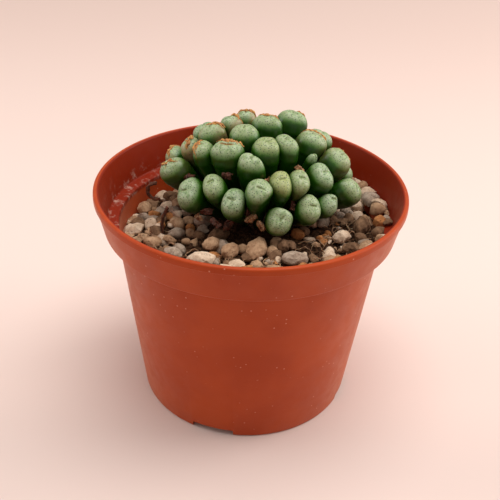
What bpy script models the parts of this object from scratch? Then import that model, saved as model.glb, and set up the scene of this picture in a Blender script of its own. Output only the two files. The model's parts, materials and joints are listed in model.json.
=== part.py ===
"""Potted conophytum: a clump of small two-lobed succulent heads in a plastic nursery pot.

The frame has +Z up, with its origin at the centre of the pot's foot, on the surface that
the pot stands on.  The pot's axis is Z.  Every size below is in metres.

The heads are rooted on one low woody crown, and their summits lie on a dome over it, the
mound.  Each head keeps to its own cell: the space on its side of a plane between it and
each neighbour.  Cells can't overlap, so the heads stay apart whatever their sizes are.
"""
import math
from dataclasses import dataclass

import bmesh
import bpy
import numpy as np
from mathutils import Matrix, Vector

MM = 0.001
GAP = 0.3 * MM                   # clearance between neighbouring pieces

# Pot: a thin moulded nursery pot with a deep collar.
RIM_RADIUS = 42.5 * MM           # outside of the rolled lip
POT_HEIGHT = 64.0 * MM
POT_WALL = 0.9 * MM
LIP_HEIGHT = 2.0 * MM            # the lip stands out from the collar by LIP_STEP
LIP_STEP = 0.5 * MM
COLLAR_HEIGHT = 10.6 * MM
COLLAR_TAPER = 1.9 * MM          # the collar narrows by this much over its height
SHOULDER_STEP = 3.1 * MM         # the body stands in from the collar by this much
BODY_TAPER = 6.5 * MM            # the body narrows by this much down to its foot
FOOT_CHAMFER = 0.7 * MM
FOOT_WALL = 1.6 * MM
FLOOR_HEIGHT = 2.4 * MM          # underside of the pot's floor
FLOOR_THICKNESS = 1.2 * MM
LEDGE_FALL = 0.3 * MM            # the ledge inside the collar slopes down by this much
POT_SIDES = 64
NOTCH_COUNT = 4                  # drainage notches through the foot
NOTCH_WIDTH = 12.0 * MM
NOTCH_HEIGHT = 2.0 * MM
NOTCH_TURN = math.radians(-106)  # bearing of the first notch
HOLE_RADIUS = 3.0 * MM           # drainage holes in the floor
HOLE_COUNT = 4                   # round the centre hole
HOLE_CIRCLE = 18.0 * MM

# Potting mix: its top is a plane, lowest at the back left.
MIX_DROP = 5.0 * MM              # from the ledge down to the top, on the pot's axis
MIX_SLOPE_X = 0.05
MIX_SLOPE_Y = -0.065

# Crown: the low woody dome that the heads are rooted on, with a taproot under it.
CROWN_PLACE = (2.0 * MM, 11.0 * MM)
CROWN_SINK = 2.3 * MM            # from the mix's top down to the crown's centre
CROWN_BREADTH = 24.0 * MM        # along Y
CROWN_LENGTH = 30.0 * MM         # along X
CROWN_RISE = 8.0 * MM            # from its centre up to its top, and down to its underside
ROOT_RADIUS = 2.4 * MM
ROOT_TIP_RADIUS = 1.0 * MM
ROOT_LENGTH = 18.0 * MM          # below the crown's underside
CROWN_SIDES = 24
CROWN_EDGE = 0.05                # keeps roots that far, squared, from the crown's own edge

# Mound: the dome over the crown's centre that the heads' summits lie on.
MOUND_SIDE_ROOM = 8.0 * MM       # from its sides to the pot's shoulder, if it stood in the middle
MOUND_END_ROOM = 11.0 * MM       # the same from its front and back
MOUND_RISE = 31.5 * MM
MOUND_FULLNESS = 0.85            # 1 is an ellipsoid, less has fuller shoulders

# Heads: sizes that all of them share.
HEAD_SIDES = 14
HEAD_BODY = ((0.0, 0.22), (0.38, 0.46), (0.7, 0.78))  # shares of the body's length and of
                                 # the face's width, from the base up
HEAD_CAP = 0.26                  # height of the rounded cap, as a share of the head's length
CAP_RINGS = 4
CAP_RING_STEP = math.radians(24)
CAP_FULLNESS = 0.8               # 1 is an ellipse, less is flatter with fuller shoulders
CLEFT_DEPTH = 0.35 * MM
CLEFT_WIDTH = 1.1 * MM
WAIST = 0.04                     # how far the lobes draw in at the cleft, as a share of width
LOW_SPREAD = 0.3                 # how far out a head is rooted, as a share of its summit's
HIGH_SPREAD = 0.6                # distance: at the foot of the mound, and at its top
ROOT_CLEARANCE = 0.9 * MM        # from the crown's surface to the middle of a head's base
SOIL_CLEARANCE = 0.5 * MM        # heads stay this far above the mix
BORDER_TRIES = (0.0, 0.25, 0.5, 0.75, 1.0)  # places along a head where its borders are tried

BORDER_MARGIN = 0.3 * MM         # added to both half-widths, so that thin ends keep some room

WALL_CLEARANCE = 0.6 * MM        # heads and stones stay this far inside the pot's wall

# Heads round the back, in two rows from the right to the left.
BACK_LOW_COUNT = 5
BACK_LOW_CLIMB = 28              # degrees up the mound, as a Head's climb
BACK_LOW_BEARINGS = (8, 140)     # of the first and the last, in degrees
BACK_HIGH_COUNT = 4
BACK_HIGH_CLIMB = 52
BACK_HIGH_BEARINGS = (22, 150)
BACK_LENGTH = 9.0
BACK_BREADTH = 7.2
BACK_TURN = 70                   # from one face's turn to the next, in degrees

# Stones.
STONE_ROUGHNESS = 0.13           # height of a stone's bumps, as a share of its size
STONE_SEED = 11
STONE_SEAT = 0.42                # height of a stone's middle over the mix, as a share of its height


# Worked out from the sizes above.
COLLAR_RADIUS = RIM_RADIUS - LIP_STEP
SHOULDER_RADIUS = COLLAR_RADIUS - COLLAR_TAPER - SHOULDER_STEP
FOOT_RADIUS = SHOULDER_RADIUS - BODY_TAPER
COLLAR_BOTTOM = POT_HEIGHT - COLLAR_HEIGHT
LEDGE_HEIGHT = COLLAR_BOTTOM + POT_WALL
FLOOR_TOP = FLOOR_HEIGHT + FLOOR_THICKNESS
MIX_HEIGHT = LEDGE_HEIGHT - MIX_DROP
CROWN = Vector((*CROWN_PLACE, MIX_HEIGHT - CROWN_SINK))
MOUND_LENGTH = 2 * (SHOULDER_RADIUS - MOUND_SIDE_ROOM)
MOUND_BREADTH = 2 * (SHOULDER_RADIUS - MOUND_END_ROOM)
MOUND_LEFT = CROWN - Vector((MOUND_LENGTH / 2, 0, 0))
STONE_REACH = SHOULDER_RADIUS - POT_WALL - WALL_CLEARANCE


@dataclass(frozen=True)
class Head:
    """One head.

    bearing is the way it leans from the crown, in degrees: 0 is right (+X) and -90 is to
    the front.  climb is its summit's place up the mound, in degrees: 90 is the top.  reach
    is how far out the summit stands, with 1 on the mound.  length and breadth are its
    face's, in millimetres, and turn is that of the face's length, in degrees: 0 is along
    +X, and 90 is up or back."""
    name: str
    bearing: float
    climb: float
    reach: float
    length: float
    breadth: float
    turn: float


def back_row(name, count, climb, bearings):
    """Heads evenly spaced between two bearings, each face turned further than the last."""
    first, last = bearings
    row = []
    for k in range(count):
        bearing = first + (last - first) * k / (count - 1)
        turn = k * BACK_TURN
        row.append(Head(f"{name}_{k + 1}", bearing, climb, 1.0, BACK_LENGTH, BACK_BREADTH, turn))
    return row


HEADS = [
    # Crest.
    Head("head_crest", 60, 85, 1.00, 9.5, 7.0, 170),
    Head("head_crest_withered", 115, 72, 1.00, 7.0, 6.0, 0),
    Head("head_crest_back_right", 46, 67, 1.04, 10.5, 7.5, 155),
    Head("head_crest_back_left", 155, 74, 1.00, 7.5, 6.5, 30),
    Head("head_crest_front", -135, 80, 1.00, 9.0, 8.0, 165),
    # Upper row, left to right.
    Head("head_left_back", 180, 48, 1.00, 7.5, 6.0, 60),
    Head("head_upper_left_back", 178, 65, 1.00, 9.5, 7.5, 10),
    Head("head_left_shoulder", -155, 55, 1.00, 7.5, 6.5, 75),
    Head("head_upper_left", -128, 63, 1.00, 11.0, 8.5, 165),
    Head("head_upper_centre", -80, 70, 1.00, 9.0, 8.5, 0),
    Head("head_upper_right", -52, 70, 1.00, 9.0, 7.0, 130),
    Head("head_bud", -30, 55, 0.95, 3.5, 3.0, 40),
    Head("head_right_shoulder", -5, 62, 1.00, 9.5, 8.0, 160),
    # Middle row.
    Head("head_left_low_back", 170, 32, 1.05, 7.5, 6.0, 60),
    Head("head_left", -168, 32, 1.05, 10.0, 8.0, 150),
    Head("head_front_left", -123, 38, 1.00, 9.0, 6.5, 90),
    Head("head_centre", -97, 58, 1.00, 9.5, 8.0, 165),
    Head("head_front_centre", -89, 37, 1.10, 9.5, 8.5, 125),
    Head("head_middle", -74, 44, 1.00, 9.5, 7.0, 105),
    Head("head_middle_right", -59, 43, 1.00, 9.0, 6.5, 105),
    Head("head_right_middle", -39, 42, 1.02, 10.0, 6.5, 130),
    Head("head_right_upper", -17, 44, 1.08, 9.5, 7.5, 140),
    # Low row.
    Head("head_left_low", -138, 28, 1.04, 10.0, 8.0, 60),
    Head("head_front_left_low", -106, 31, 1.02, 9.0, 8.0, 90),
    Head("head_front_low", -77, 22, 1.04, 9.0, 7.5, 90),
    Head("head_front_right", -57, 26, 1.02, 9.0, 7.5, 125),
    Head("head_front_right_low", -41, 26, 1.02, 9.0, 6.5, 115),
    Head("head_right_low", -20, 25, 1.08, 10.5, 8.0, 20),
    *back_row("head_back_low", BACK_LOW_COUNT, BACK_LOW_CLIMB, BACK_LOW_BEARINGS),
    *back_row("head_back_high", BACK_HIGH_COUNT, BACK_HIGH_CLIMB, BACK_HIGH_BEARINGS),
]


@dataclass(frozen=True)
class Stone:
    """One stone: where it lies, its length, breadth and height, all in millimetres, the
    turn of its length from +X in degrees, and its colour's name."""
    name: str
    x: float
    y: float
    length: float
    breadth: float
    height: float
    turn: float
    colour: str


STONES = [
    # In front of the clump, left to right.
    Stone("stone_pale_front", -12, -20, 8.5, 5, 4, 5, "pale"),
    Stone("stone_tan_round", -10, -12.5, 5.5, 5, 4.5, 10, "tan"),
    Stone("stone_brown_shaded", -8.5, -6, 7, 4.5, 4, 20, "brown"),
    Stone("stone_tan_left", -5, -16, 6.5, 5, 4.5, 60, "tan"),
    Stone("stone_tan_large", 2, -15, 10, 6, 5, 80, "tan"),
    Stone("stone_brown_small", 9, -13, 4.5, 3.5, 4, 90, "brown"),
    Stone("stone_grey_front", 12, -20, 7.5, 5, 4, -10, "grey"),
    # To the right of it, front to back.
    Stone("stone_dark_right", 27, -14, 5.5, 4, 3.5, 10, "brown"),
    Stone("stone_pale_right", 25, -8, 5.5, 4.5, 4, 20, "pale"),
    Stone("stone_long_right", 31, -2, 8.5, 5, 5, 70, "brown"),
    Stone("stone_back_right", 31, 11, 6.5, 5.5, 5, 80, "pale"),
    # To the left of it, front to back.
    Stone("stone_left_grey", -20, -16.5, 6, 4, 3.5, -10, "grey"),
    Stone("stone_left_front", -26, -11, 6, 5, 4, 15, "tan"),
    Stone("stone_left_pale", -32, -3, 6.5, 5, 4, 30, "pale"),
    Stone("stone_left_tan", -31, 11, 5, 4.5, 4, 100, "tan"),
    Stone("stone_left_back", -24, 19, 5.5, 4.5, 4, 0, "brown"),
]

# Dry remains of last year's flowers, left of the clump.
HOOK_PLACE = (0.5 * MM, -6.0 * MM, 11.0 * MM)  # of its curl's middle, from the mound's left end
HOOK_RADIUS = 2.6 * MM           # of its curl
HOOK_SWEEP = 200                 # degrees, from straight up over the left
HOOK_THICKNESS = 0.5 * MM        # radius of the strand
STALK_PLACE = (3.0 * MM, -15.5 * MM)           # of its foot, from the mound's left end
STALK_LEAN = Vector((1.5, 0.5, 8.6)) * MM      # from its foot to its top
STALK_BOW = 0.8 * MM             # how far it bows out to the left
STALK_THICKNESS = 0.45 * MM
STALK_CLEARANCE = 0.9 * MM       # from the mix to the middle of its foot
STRAND_STEPS = 8

# Colours as linear RGB, with a roughness.
COLOURS = {
    "pot": ((0.35, 0.055, 0.015), 0.45),
    "mix": ((0.025, 0.013, 0.007), 0.95),
    "crown": ((0.12, 0.065, 0.03), 0.9),
    "head": ((0.17, 0.26, 0.11), 0.5),
    "tan": ((0.36, 0.22, 0.13), 0.9),
    "pale": ((0.58, 0.43, 0.32), 0.9),
    "grey": ((0.36, 0.28, 0.22), 0.9),
    "brown": ((0.2, 0.12, 0.07), 0.9),
    "dry": ((0.22, 0.09, 0.03), 0.85),
}


def material(name):
    """Return the Principled material called name, made once."""
    found = bpy.data.materials.get(name)
    if found:
        return found
    colour, roughness = COLOURS[name]
    made = bpy.data.materials.new(name)
    made.use_nodes = True
    shader = made.node_tree.nodes["Principled BSDF"]
    shader.inputs["Base Color"].default_value = (*colour, 1.0)
    shader.inputs["Roughness"].default_value = roughness
    shader.inputs["Metallic"].default_value = 0.0
    return made


def add_object(name, bm, colour, crease=40):
    """Turn a bmesh into a named object with its material, smooth but for its edges."""
    bmesh.ops.recalc_face_normals(bm, faces=bm.faces)
    mesh = bpy.data.meshes.new(name)
    bm.to_mesh(mesh)
    bm.free()
    mesh.shade_smooth()
    mesh.set_sharp_from_angle(angle=math.radians(crease))
    mesh.materials.append(material(colour))
    made = bpy.data.objects.new(name, mesh)
    bpy.context.scene.collection.objects.link(made)
    return made


def cut(target, name, bm):
    """Cut target with the closed shape in bm, kept as a hidden guide."""
    cutter = add_object(name, bm, "pot")
    cutter.hide_render = True
    cutter.display_type = "WIRE"
    boolean = target.modifiers.new(name, "BOOLEAN")
    boolean.operation = "DIFFERENCE"
    boolean.solver = "EXACT"
    boolean.object = cutter


def bridge(bm, lower, upper):
    """Join two rings of as many vertices with quads."""
    for i in range(len(lower)):
        j = (i + 1) % len(lower)
        bm.faces.new((lower[i], lower[j], upper[j], upper[i]))


def lathe(profile, sides, centre=Vector()):
    """Turn a profile of (radius, height) points about Z.  A point of radius 0 at either
    end closes the shape there, and a profile with none is closed into a ring."""
    bm = bmesh.new()
    rings = []
    for radius, height in profile:
        if radius == 0:
            rings.append(bm.verts.new(centre + Vector((0, 0, height))))
            continue
        ring = []
        for k in range(sides):
            angle = math.tau * k / sides
            spoke = Vector((radius * math.cos(angle), radius * math.sin(angle), height))
            ring.append(bm.verts.new(centre + spoke))
        rings.append(ring)
    pairs = list(zip(rings, rings[1:]))
    if isinstance(rings[0], list) and isinstance(rings[-1], list):
        pairs.append((rings[-1], rings[0]))
    for lower, upper in pairs:
        if isinstance(lower, list) and isinstance(upper, list):
            bridge(bm, lower, upper)
            continue
        pole, ring = (upper, lower) if isinstance(lower, list) else (lower, upper)
        for k in range(sides):
            bm.faces.new((pole, ring[k], ring[(k + 1) % sides]))
    return bm


# --- Pot -------------------------------------------------------------------------------

def wall_radius(height):
    """Outside radius of the pot's body at a height below the collar."""
    share = height / COLLAR_BOTTOM
    return FOOT_RADIUS + share * (SHOULDER_RADIUS - FOOT_RADIUS)


def pot_profile():
    """The pot's section, anticlockwise from the inside of the foot ring."""
    lip_round = LIP_STEP
    collar_low = COLLAR_RADIUS - COLLAR_TAPER
    return [
        (FOOT_RADIUS - FOOT_WALL, 0),
        (FOOT_RADIUS - FOOT_CHAMFER, 0),
        (wall_radius(FOOT_CHAMFER), FOOT_CHAMFER),
        (SHOULDER_RADIUS, COLLAR_BOTTOM),
        (collar_low - lip_round, COLLAR_BOTTOM),
        (collar_low, COLLAR_BOTTOM + lip_round),
        (COLLAR_RADIUS, POT_HEIGHT - LIP_HEIGHT),
        (RIM_RADIUS, POT_HEIGHT - LIP_HEIGHT + lip_round / 2),
        (RIM_RADIUS, POT_HEIGHT - lip_round),
        (RIM_RADIUS - lip_round, POT_HEIGHT),
        (COLLAR_RADIUS - POT_WALL + lip_round / 2, POT_HEIGHT),
        (COLLAR_RADIUS - POT_WALL, POT_HEIGHT - lip_round),
        (collar_low - POT_WALL, LEDGE_HEIGHT),
        (SHOULDER_RADIUS - POT_WALL, LEDGE_HEIGHT - LEDGE_FALL),
        (wall_radius(FLOOR_TOP) - POT_WALL, FLOOR_TOP),
        (HOLE_RADIUS, FLOOR_TOP),
        (HOLE_RADIUS, FLOOR_HEIGHT),
        (FOOT_RADIUS - FOOT_WALL, FLOOR_HEIGHT),
    ]


def box_bmesh(length, width, height, place):
    """A closed box with its centre at place, a transform."""
    bm = bmesh.new()
    bmesh.ops.create_cube(bm, size=1.0)
    sizes = Matrix.Diagonal((length, width, height, 1.0))
    bmesh.ops.transform(bm, matrix=place @ sizes, verts=bm.verts)
    return bm


def make_pot():
    pot = add_object("pot", lathe(pot_profile(), POT_SIDES), "pot", crease=25)
    for k in range(NOTCH_COUNT):
        turn = Matrix.Rotation(NOTCH_TURN + math.tau * k / NOTCH_COUNT, 4, "Z")
        out = Matrix.Translation((FOOT_RADIUS - FOOT_WALL / 2, 0, 0))
        notch = box_bmesh(3 * FOOT_WALL + 4 * MM, NOTCH_WIDTH, 2 * NOTCH_HEIGHT, turn @ out)
        cut(pot, f"cutter_notch_{k + 1}", notch)
    for k in range(HOLE_COUNT):
        angle = NOTCH_TURN + math.tau * k / HOLE_COUNT
        centre = Vector((math.cos(angle), math.sin(angle), 0)) * HOLE_CIRCLE
        bore = [(0, FLOOR_HEIGHT / 2), (HOLE_RADIUS, FLOOR_HEIGHT / 2),
                (HOLE_RADIUS, FLOOR_TOP + FLOOR_HEIGHT), (0, FLOOR_TOP + FLOOR_HEIGHT)]
        cut(pot, f"cutter_hole_{k + 1}", lathe(bore, 12, centre))


# --- Potting mix and crown ---------------------------------------------------------------

def mix_top(x, y):
    """Height of the potting mix's top at a place."""
    return MIX_HEIGHT + MIX_SLOPE_X * x + MIX_SLOPE_Y * y


def mix_plane(clearance):
    """The half-space above the mix, as (normal, offset)."""
    normal = Vector((-MIX_SLOPE_X, -MIX_SLOPE_Y, 1.0)).normalized()
    return normal, normal.z * MIX_HEIGHT + clearance


def crown_profile(clearance=0.0):
    """Section of the crown and its taproot about the crown's centre, from the top down,
    grown outward by a clearance."""
    radius = CROWN_BREADTH / 2
    steps = 9
    last = math.acos(ROOT_RADIUS / radius)
    points = [(0, CROWN_RISE + clearance)]
    for k in range(1, steps + 1):
        angle = math.pi / 2 - k * (math.pi / 2 + last) / steps
        points.append((radius * math.cos(angle) + clearance,
                       (CROWN_RISE + clearance) * math.sin(angle)))
    bottom = -CROWN_RISE - ROOT_LENGTH - clearance
    points.append((ROOT_TIP_RADIUS + clearance, bottom))
    points.append((0, bottom))
    return points


def stretched(bm):
    """Stretch a turned shape about the crown's centre from its breadth to its length."""
    for vertex in bm.verts:
        vertex.co.x = CROWN.x + (vertex.co.x - CROWN.x) * CROWN_LENGTH / CROWN_BREADTH
    return bm


def make_crown():
    shape = stretched(lathe(crown_profile(), CROWN_SIDES, CROWN))
    add_object("root_crown", shape, "crown")


def make_mix():
    """The mix fills the pot's body up to its sloping top, with a socket for the crown."""
    floor = FLOOR_TOP + GAP
    inner = wall_radius(floor) - POT_WALL - GAP
    flare = (SHOULDER_RADIUS - FOOT_RADIUS) / COLLAR_BOTTOM
    bm = bmesh.new()
    low = []
    high = []
    for k in range(POT_SIDES):
        angle = math.tau * k / POT_SIDES
        cosine = math.cos(angle)
        sine = math.sin(angle)
        low.append(bm.verts.new((inner * cosine, inner * sine, floor)))
        rise = MIX_SLOPE_X * cosine + MIX_SLOPE_Y * sine
        radius = (inner + flare * (MIX_HEIGHT - floor)) / (1 - flare * rise)
        high.append(bm.verts.new((radius * cosine, radius * sine, MIX_HEIGHT + rise * radius)))
    bridge(bm, low, high)
    bm.faces.new(high)
    bm.faces.new(low[::-1])
    mix = add_object("potting_mix", bm, "mix", crease=30)

    socket = [(r, z) for r, z in crown_profile(GAP) if z < 0]
    mouth = (CROWN_BREADTH / 2 + GAP, CROWN_RISE + GAP)
    shape = [(0, mouth[1]), mouth, (mouth[0], 0)] + socket
    cut(mix, "cutter_socket", stretched(lathe(shape, CROWN_SIDES, CROWN)))


# --- Heads -------------------------------------------------------------------------------

def crown_height(x, y):
    """Height of the crown's surface over its centre, at a place from its centre."""
    across = (2 * x / CROWN_LENGTH) ** 2 + (2 * y / CROWN_BREADTH) ** 2
    return CROWN_RISE * math.sqrt(max(CROWN_EDGE, 1 - across))


def crown_normal(x, y, z):
    """Outward normal of the crown's surface, at a place from its centre."""
    radii = (CROWN_LENGTH / 2, CROWN_BREADTH / 2, CROWN_RISE)
    return Vector([place / radius ** 2 for place, radius in zip((x, y, z), radii)]).normalized()


def summit_place(head):
    """A head's summit from the crown's centre, on the mound."""
    bearing = math.radians(head.bearing)
    climb = math.radians(head.climb)
    out = math.cos(climb) ** MOUND_FULLNESS
    up = math.sin(climb) ** MOUND_FULLNESS
    x = MOUND_LENGTH / 2 * out * math.cos(bearing)
    y = MOUND_BREADTH / 2 * out * math.sin(bearing)
    return Vector((x, y, MOUND_RISE * up)) * head.reach


def root_place(head):
    """Where a head is rooted on the crown's surface, from the crown's centre."""
    height = math.sin(math.radians(head.climb))
    spread = LOW_SPREAD + (HIGH_SPREAD - LOW_SPREAD) * height
    place = summit_place(head) * spread
    return Vector((place.x, place.y, crown_height(place.x, place.y)))


def axis_ends(head):
    """The middle of a head's base and its summit."""
    root = CROWN + root_place(head)
    summit = CROWN + summit_place(head)
    return root + (summit - root).normalized() * ROOT_CLEARANCE, summit


def face_axes(head):
    """Unit vectors along a head's axis, and along its face's length and breadth."""
    base, summit = axis_ends(head)
    axis = (summit - base).normalized()
    level = Vector((axis.z, 0, -axis.x)).normalized()
    turn = math.radians(head.turn)
    along = level * math.cos(turn) + axis.cross(level) * math.sin(turn)
    return axis, along, axis.cross(along)


def reach_along(head, normal):
    """Half-widths of a head along a direction, at each of BORDER_TRIES."""
    _, along, across = face_axes(head)
    widest = math.hypot(along.dot(normal) * head.length, across.dot(normal) * head.breadth)
    heights, widths = zip(*head_profile(), (1.0, 0.0))
    return np.interp(BORDER_TRIES, heights, widths) * widest * MM / 2 + BORDER_MARGIN


def border(head, other):
    """The plane between two heads that leaves both the most room for their widths, as
    (normal, offset), with the first head on its inner side."""
    ends = axis_ends(head)
    other_ends = axis_ends(other)
    centres = [ends[0].lerp(ends[1], share) for share in BORDER_TRIES]
    other_centres = [other_ends[0].lerp(other_ends[1], share) for share in BORDER_TRIES]
    best = None
    for centre in centres:
        for other_centre in other_centres:
            normal = (centre - other_centre).normalized()
            near = np.array([normal.dot(spot) for spot in centres])
            far = np.array([normal.dot(spot) for spot in other_centres])
            own = reach_along(head, normal)
            others = reach_along(other, normal)
            room = (near[:, None] - far[None, :]) / (own[:, None] + others[None, :])
            tightest = np.unravel_index(room.argmin(), room.shape)[0]
            if best is None or room.min() > best[0]:
                best = (room.min(), normal, near[tightest] - room.min() * own[tightest])
    return best[1], float(best[2])


def shared_borders():
    """The planes that bound each head against the others, by the head's name."""
    planes = {head.name: [] for head in HEADS}
    for k, head in enumerate(HEADS):
        for other in HEADS[k + 1:]:
            normal, offset = border(head, other)
            planes[head.name].append((normal, offset + GAP / 2))
            planes[other.name].append((-normal, -offset + GAP / 2))
    return planes


def wall_planes():
    """Upright planes round the inside of the collar, where it is narrowest."""
    room = COLLAR_RADIUS - COLLAR_TAPER - POT_WALL - WALL_CLEARANCE
    planes = []
    for k in range(POT_SIDES):
        angle = math.tau * k / POT_SIDES
        inward = Vector((-math.cos(angle), -math.sin(angle), 0))
        planes.append((inward, -room * math.cos(math.pi / POT_SIDES)))
    return planes


def ground_planes(head):
    """The planes that keep a head off the crown, the mix and the pot's wall."""
    root = root_place(head)
    normal = crown_normal(*root)
    crown = (normal, normal.dot(CROWN + root) + GAP)
    return [crown, mix_plane(SOIL_CLEARANCE), *wall_planes()]


def within(centre, point, planes):
    """Draw a point toward a centre until it is on the inner side of every plane."""
    spoke = point - centre
    share = 1.0
    for normal, offset in planes:
        room = normal.dot(centre) - offset
        need = -normal.dot(spoke)
        if need > 0:
            share = min(share, room / need)
    return centre + spoke * share


def head_profile():
    """Rings of a head as (share of the length, share of the width), base to top."""
    rings = [(height * (1 - HEAD_CAP), width) for height, width in HEAD_BODY]
    for step in range(CAP_RINGS):
        angle = CAP_RING_STEP * step
        width = math.cos(angle) ** CAP_FULLNESS
        rings.append((1 - HEAD_CAP * (1 - math.sin(angle) ** CAP_FULLNESS), width))
    return rings


def make_head(head, planes):
    base, summit = axis_ends(head)
    axis, along, across = face_axes(head)
    bm = bmesh.new()
    rings = []
    for height, width in head_profile():
        centre = base.lerp(summit, height)
        capping = max(0.0, height - (1 - HEAD_CAP)) / HEAD_CAP
        ring = []
        for k in range(HEAD_SIDES):
            angle = math.tau * (k + 0.5) / HEAD_SIDES
            a = math.cos(angle) * head.length * MM / 2 * width
            b = math.sin(angle) * head.breadth * MM / 2 * width
            nearness = math.exp(-(a / CLEFT_WIDTH) ** 2)
            b *= 1 - WAIST * nearness * width
            lowered = axis * (CLEFT_DEPTH * nearness * capping)
            point = within(centre, centre + along * a + across * b, planes)
            ring.append(bm.verts.new(point - lowered))
        rings.append(ring)
    for lower, upper in zip(rings, rings[1:]):
        bridge(bm, lower, upper)
    bm.faces.new(rings[0][::-1])
    pole = bm.verts.new(summit - axis * CLEFT_DEPTH)
    for k in range(HEAD_SIDES):
        bm.faces.new((rings[-1][k], rings[-1][(k + 1) % HEAD_SIDES], pole))
    return add_object(head.name, bm, "head", crease=60)


# --- Stones ------------------------------------------------------------------------------

def stone_centre(stone):
    """Where a stone's centre lies, resting on the mix and drawn in from the wall."""
    x = stone.x * MM
    y = stone.y * MM
    room = STONE_REACH - (stone.length + stone.breadth) / 4 * MM
    inward = min(1.0, room / math.hypot(x, y))
    x *= inward
    y *= inward
    return Vector((x, y, mix_top(x, y) + GAP + STONE_SEAT * stone.height * MM))


def stone_planes(stone, head_points):
    """Planes between a stone and the mix, the other stones and the heads."""
    centre = stone_centre(stone)
    planes = [mix_plane(GAP)]
    size = stone.length + stone.breadth
    for other in STONES:
        if other is stone:
            continue
        apart = centre - stone_centre(other)
        share = (other.length + other.breadth) / (size + other.length + other.breadth)
        border = stone_centre(other) + apart * share
        normal = apart.normalized()
        planes.append((normal, normal.dot(border) + GAP / 2))
    for points in head_points:
        normal = (centre - Vector(points.mean(axis=0))).normalized()
        planes.append((normal, float((points @ np.array(normal)).max()) + GAP))
    return planes


def make_stone(stone, head_points, random):
    centre = stone_centre(stone)
    planes = stone_planes(stone, head_points)
    bm = bmesh.new()
    bmesh.ops.create_icosphere(bm, subdivisions=2, radius=1.0)
    turn = Matrix.Rotation(math.radians(stone.turn), 3, "Z")
    half = Vector((stone.length, stone.breadth, stone.height)) * MM / 2
    for vertex in bm.verts:
        bump = 1 - STONE_ROUGHNESS * random.random()
        spoke = turn @ Vector([s * h for s, h in zip(vertex.co, half)]) * bump
        point = within(centre, centre + spoke, planes)
        outward = math.hypot(point.x, point.y)
        if outward > STONE_REACH:
            point.x *= STONE_REACH / outward
            point.y *= STONE_REACH / outward
        vertex.co = point
    return add_object(stone.name, bm, stone.colour, crease=35)


# --- Dry flower remains ------------------------------------------------------------------

def make_strand(name, points, radius):
    """A thin dry strand through points."""
    curve = bpy.data.curves.new(name, "CURVE")
    curve.dimensions = "3D"
    curve.bevel_depth = radius
    curve.bevel_resolution = 2
    curve.use_fill_caps = True
    spline = curve.splines.new("POLY")
    spline.points.add(len(points) - 1)
    for slot, point in zip(spline.points, points):
        slot.co = (*point, 1.0)
    curve.materials.append(material("dry"))
    made = bpy.data.objects.new(name, curve)
    bpy.context.scene.collection.objects.link(made)


def make_dry_remains():
    """A withered flower curled into a hook, and a stalk that stands in the mix."""
    foot = MOUND_LEFT + Vector((*STALK_PLACE, 0))
    foot.z = mix_top(foot.x, foot.y) + STALK_CLEARANCE
    middle = MOUND_LEFT + Vector(HOOK_PLACE)
    hook = []
    stalk = []
    for k in range(STRAND_STEPS + 1):
        share = k / STRAND_STEPS
        angle = math.radians(90 + HOOK_SWEEP * share)
        hook.append(middle + Vector((math.cos(angle), 0, math.sin(angle))) * HOOK_RADIUS)
        bow = Vector((-STALK_BOW * math.sin(math.pi * share), 0, 0))
        stalk.append(foot + STALK_LEAN * share + bow)
    make_strand("withered_flower", hook, HOOK_THICKNESS)
    make_strand("dry_flower_stalk", stalk, STALK_THICKNESS)


def main():
    for leftover in list(bpy.data.objects):
        bpy.data.objects.remove(leftover, do_unlink=True)
    make_pot()
    make_mix()
    make_crown()
    borders = shared_borders()
    heads = [make_head(head, borders[head.name] + ground_planes(head)) for head in HEADS]
    head_points = [np.array([tuple(v.co) for v in made.data.vertices]) for made in heads]
    random = np.random.default_rng(STONE_SEED)
    for stone in STONES:
        make_stone(stone, head_points, random)
    make_dry_remains()


main()
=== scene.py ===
"""Looks of the potted conophytum: fine heads, moulded pot, gravel, peat and dry remains.

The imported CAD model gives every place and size.  Each sub-assembly below is a class that
measures its CAD nodes, builds finer pieces over them and dresses them in its finishes.
Everything is in metres, with +Z up and the pot's axis along Z.
"""

import json
import logging
import math
from dataclasses import dataclass, field
from enum import Enum

import bmesh
import bpy
import numpy as np
from mathutils import Matrix, Vector, noise
from mathutils.bvhtree import BVHTree

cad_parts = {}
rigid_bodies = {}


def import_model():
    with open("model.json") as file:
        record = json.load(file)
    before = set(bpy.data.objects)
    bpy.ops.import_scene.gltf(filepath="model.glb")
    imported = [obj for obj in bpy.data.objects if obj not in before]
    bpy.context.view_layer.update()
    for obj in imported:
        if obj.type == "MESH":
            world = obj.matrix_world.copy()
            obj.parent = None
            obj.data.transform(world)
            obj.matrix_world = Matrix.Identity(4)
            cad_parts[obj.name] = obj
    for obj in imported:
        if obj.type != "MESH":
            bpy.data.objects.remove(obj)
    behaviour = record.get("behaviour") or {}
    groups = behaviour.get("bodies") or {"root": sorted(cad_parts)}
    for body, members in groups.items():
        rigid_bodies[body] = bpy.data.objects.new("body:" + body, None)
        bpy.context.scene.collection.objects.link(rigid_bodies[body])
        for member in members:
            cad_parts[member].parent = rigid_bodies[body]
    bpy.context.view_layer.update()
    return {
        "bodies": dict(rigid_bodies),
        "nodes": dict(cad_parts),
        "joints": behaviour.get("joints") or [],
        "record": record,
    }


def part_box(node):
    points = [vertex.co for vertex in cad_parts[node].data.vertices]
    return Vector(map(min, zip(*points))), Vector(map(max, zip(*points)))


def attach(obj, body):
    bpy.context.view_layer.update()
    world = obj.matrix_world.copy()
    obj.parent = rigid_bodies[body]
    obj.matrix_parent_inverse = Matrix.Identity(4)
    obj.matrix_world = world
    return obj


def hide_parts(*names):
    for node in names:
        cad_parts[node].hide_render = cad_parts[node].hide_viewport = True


MM = 0.001
BODY = "root"
CROWN_DEPTH = 8.0 * MM
LACUNARITY = 2.0
CREASE_SEED = 7
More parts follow.
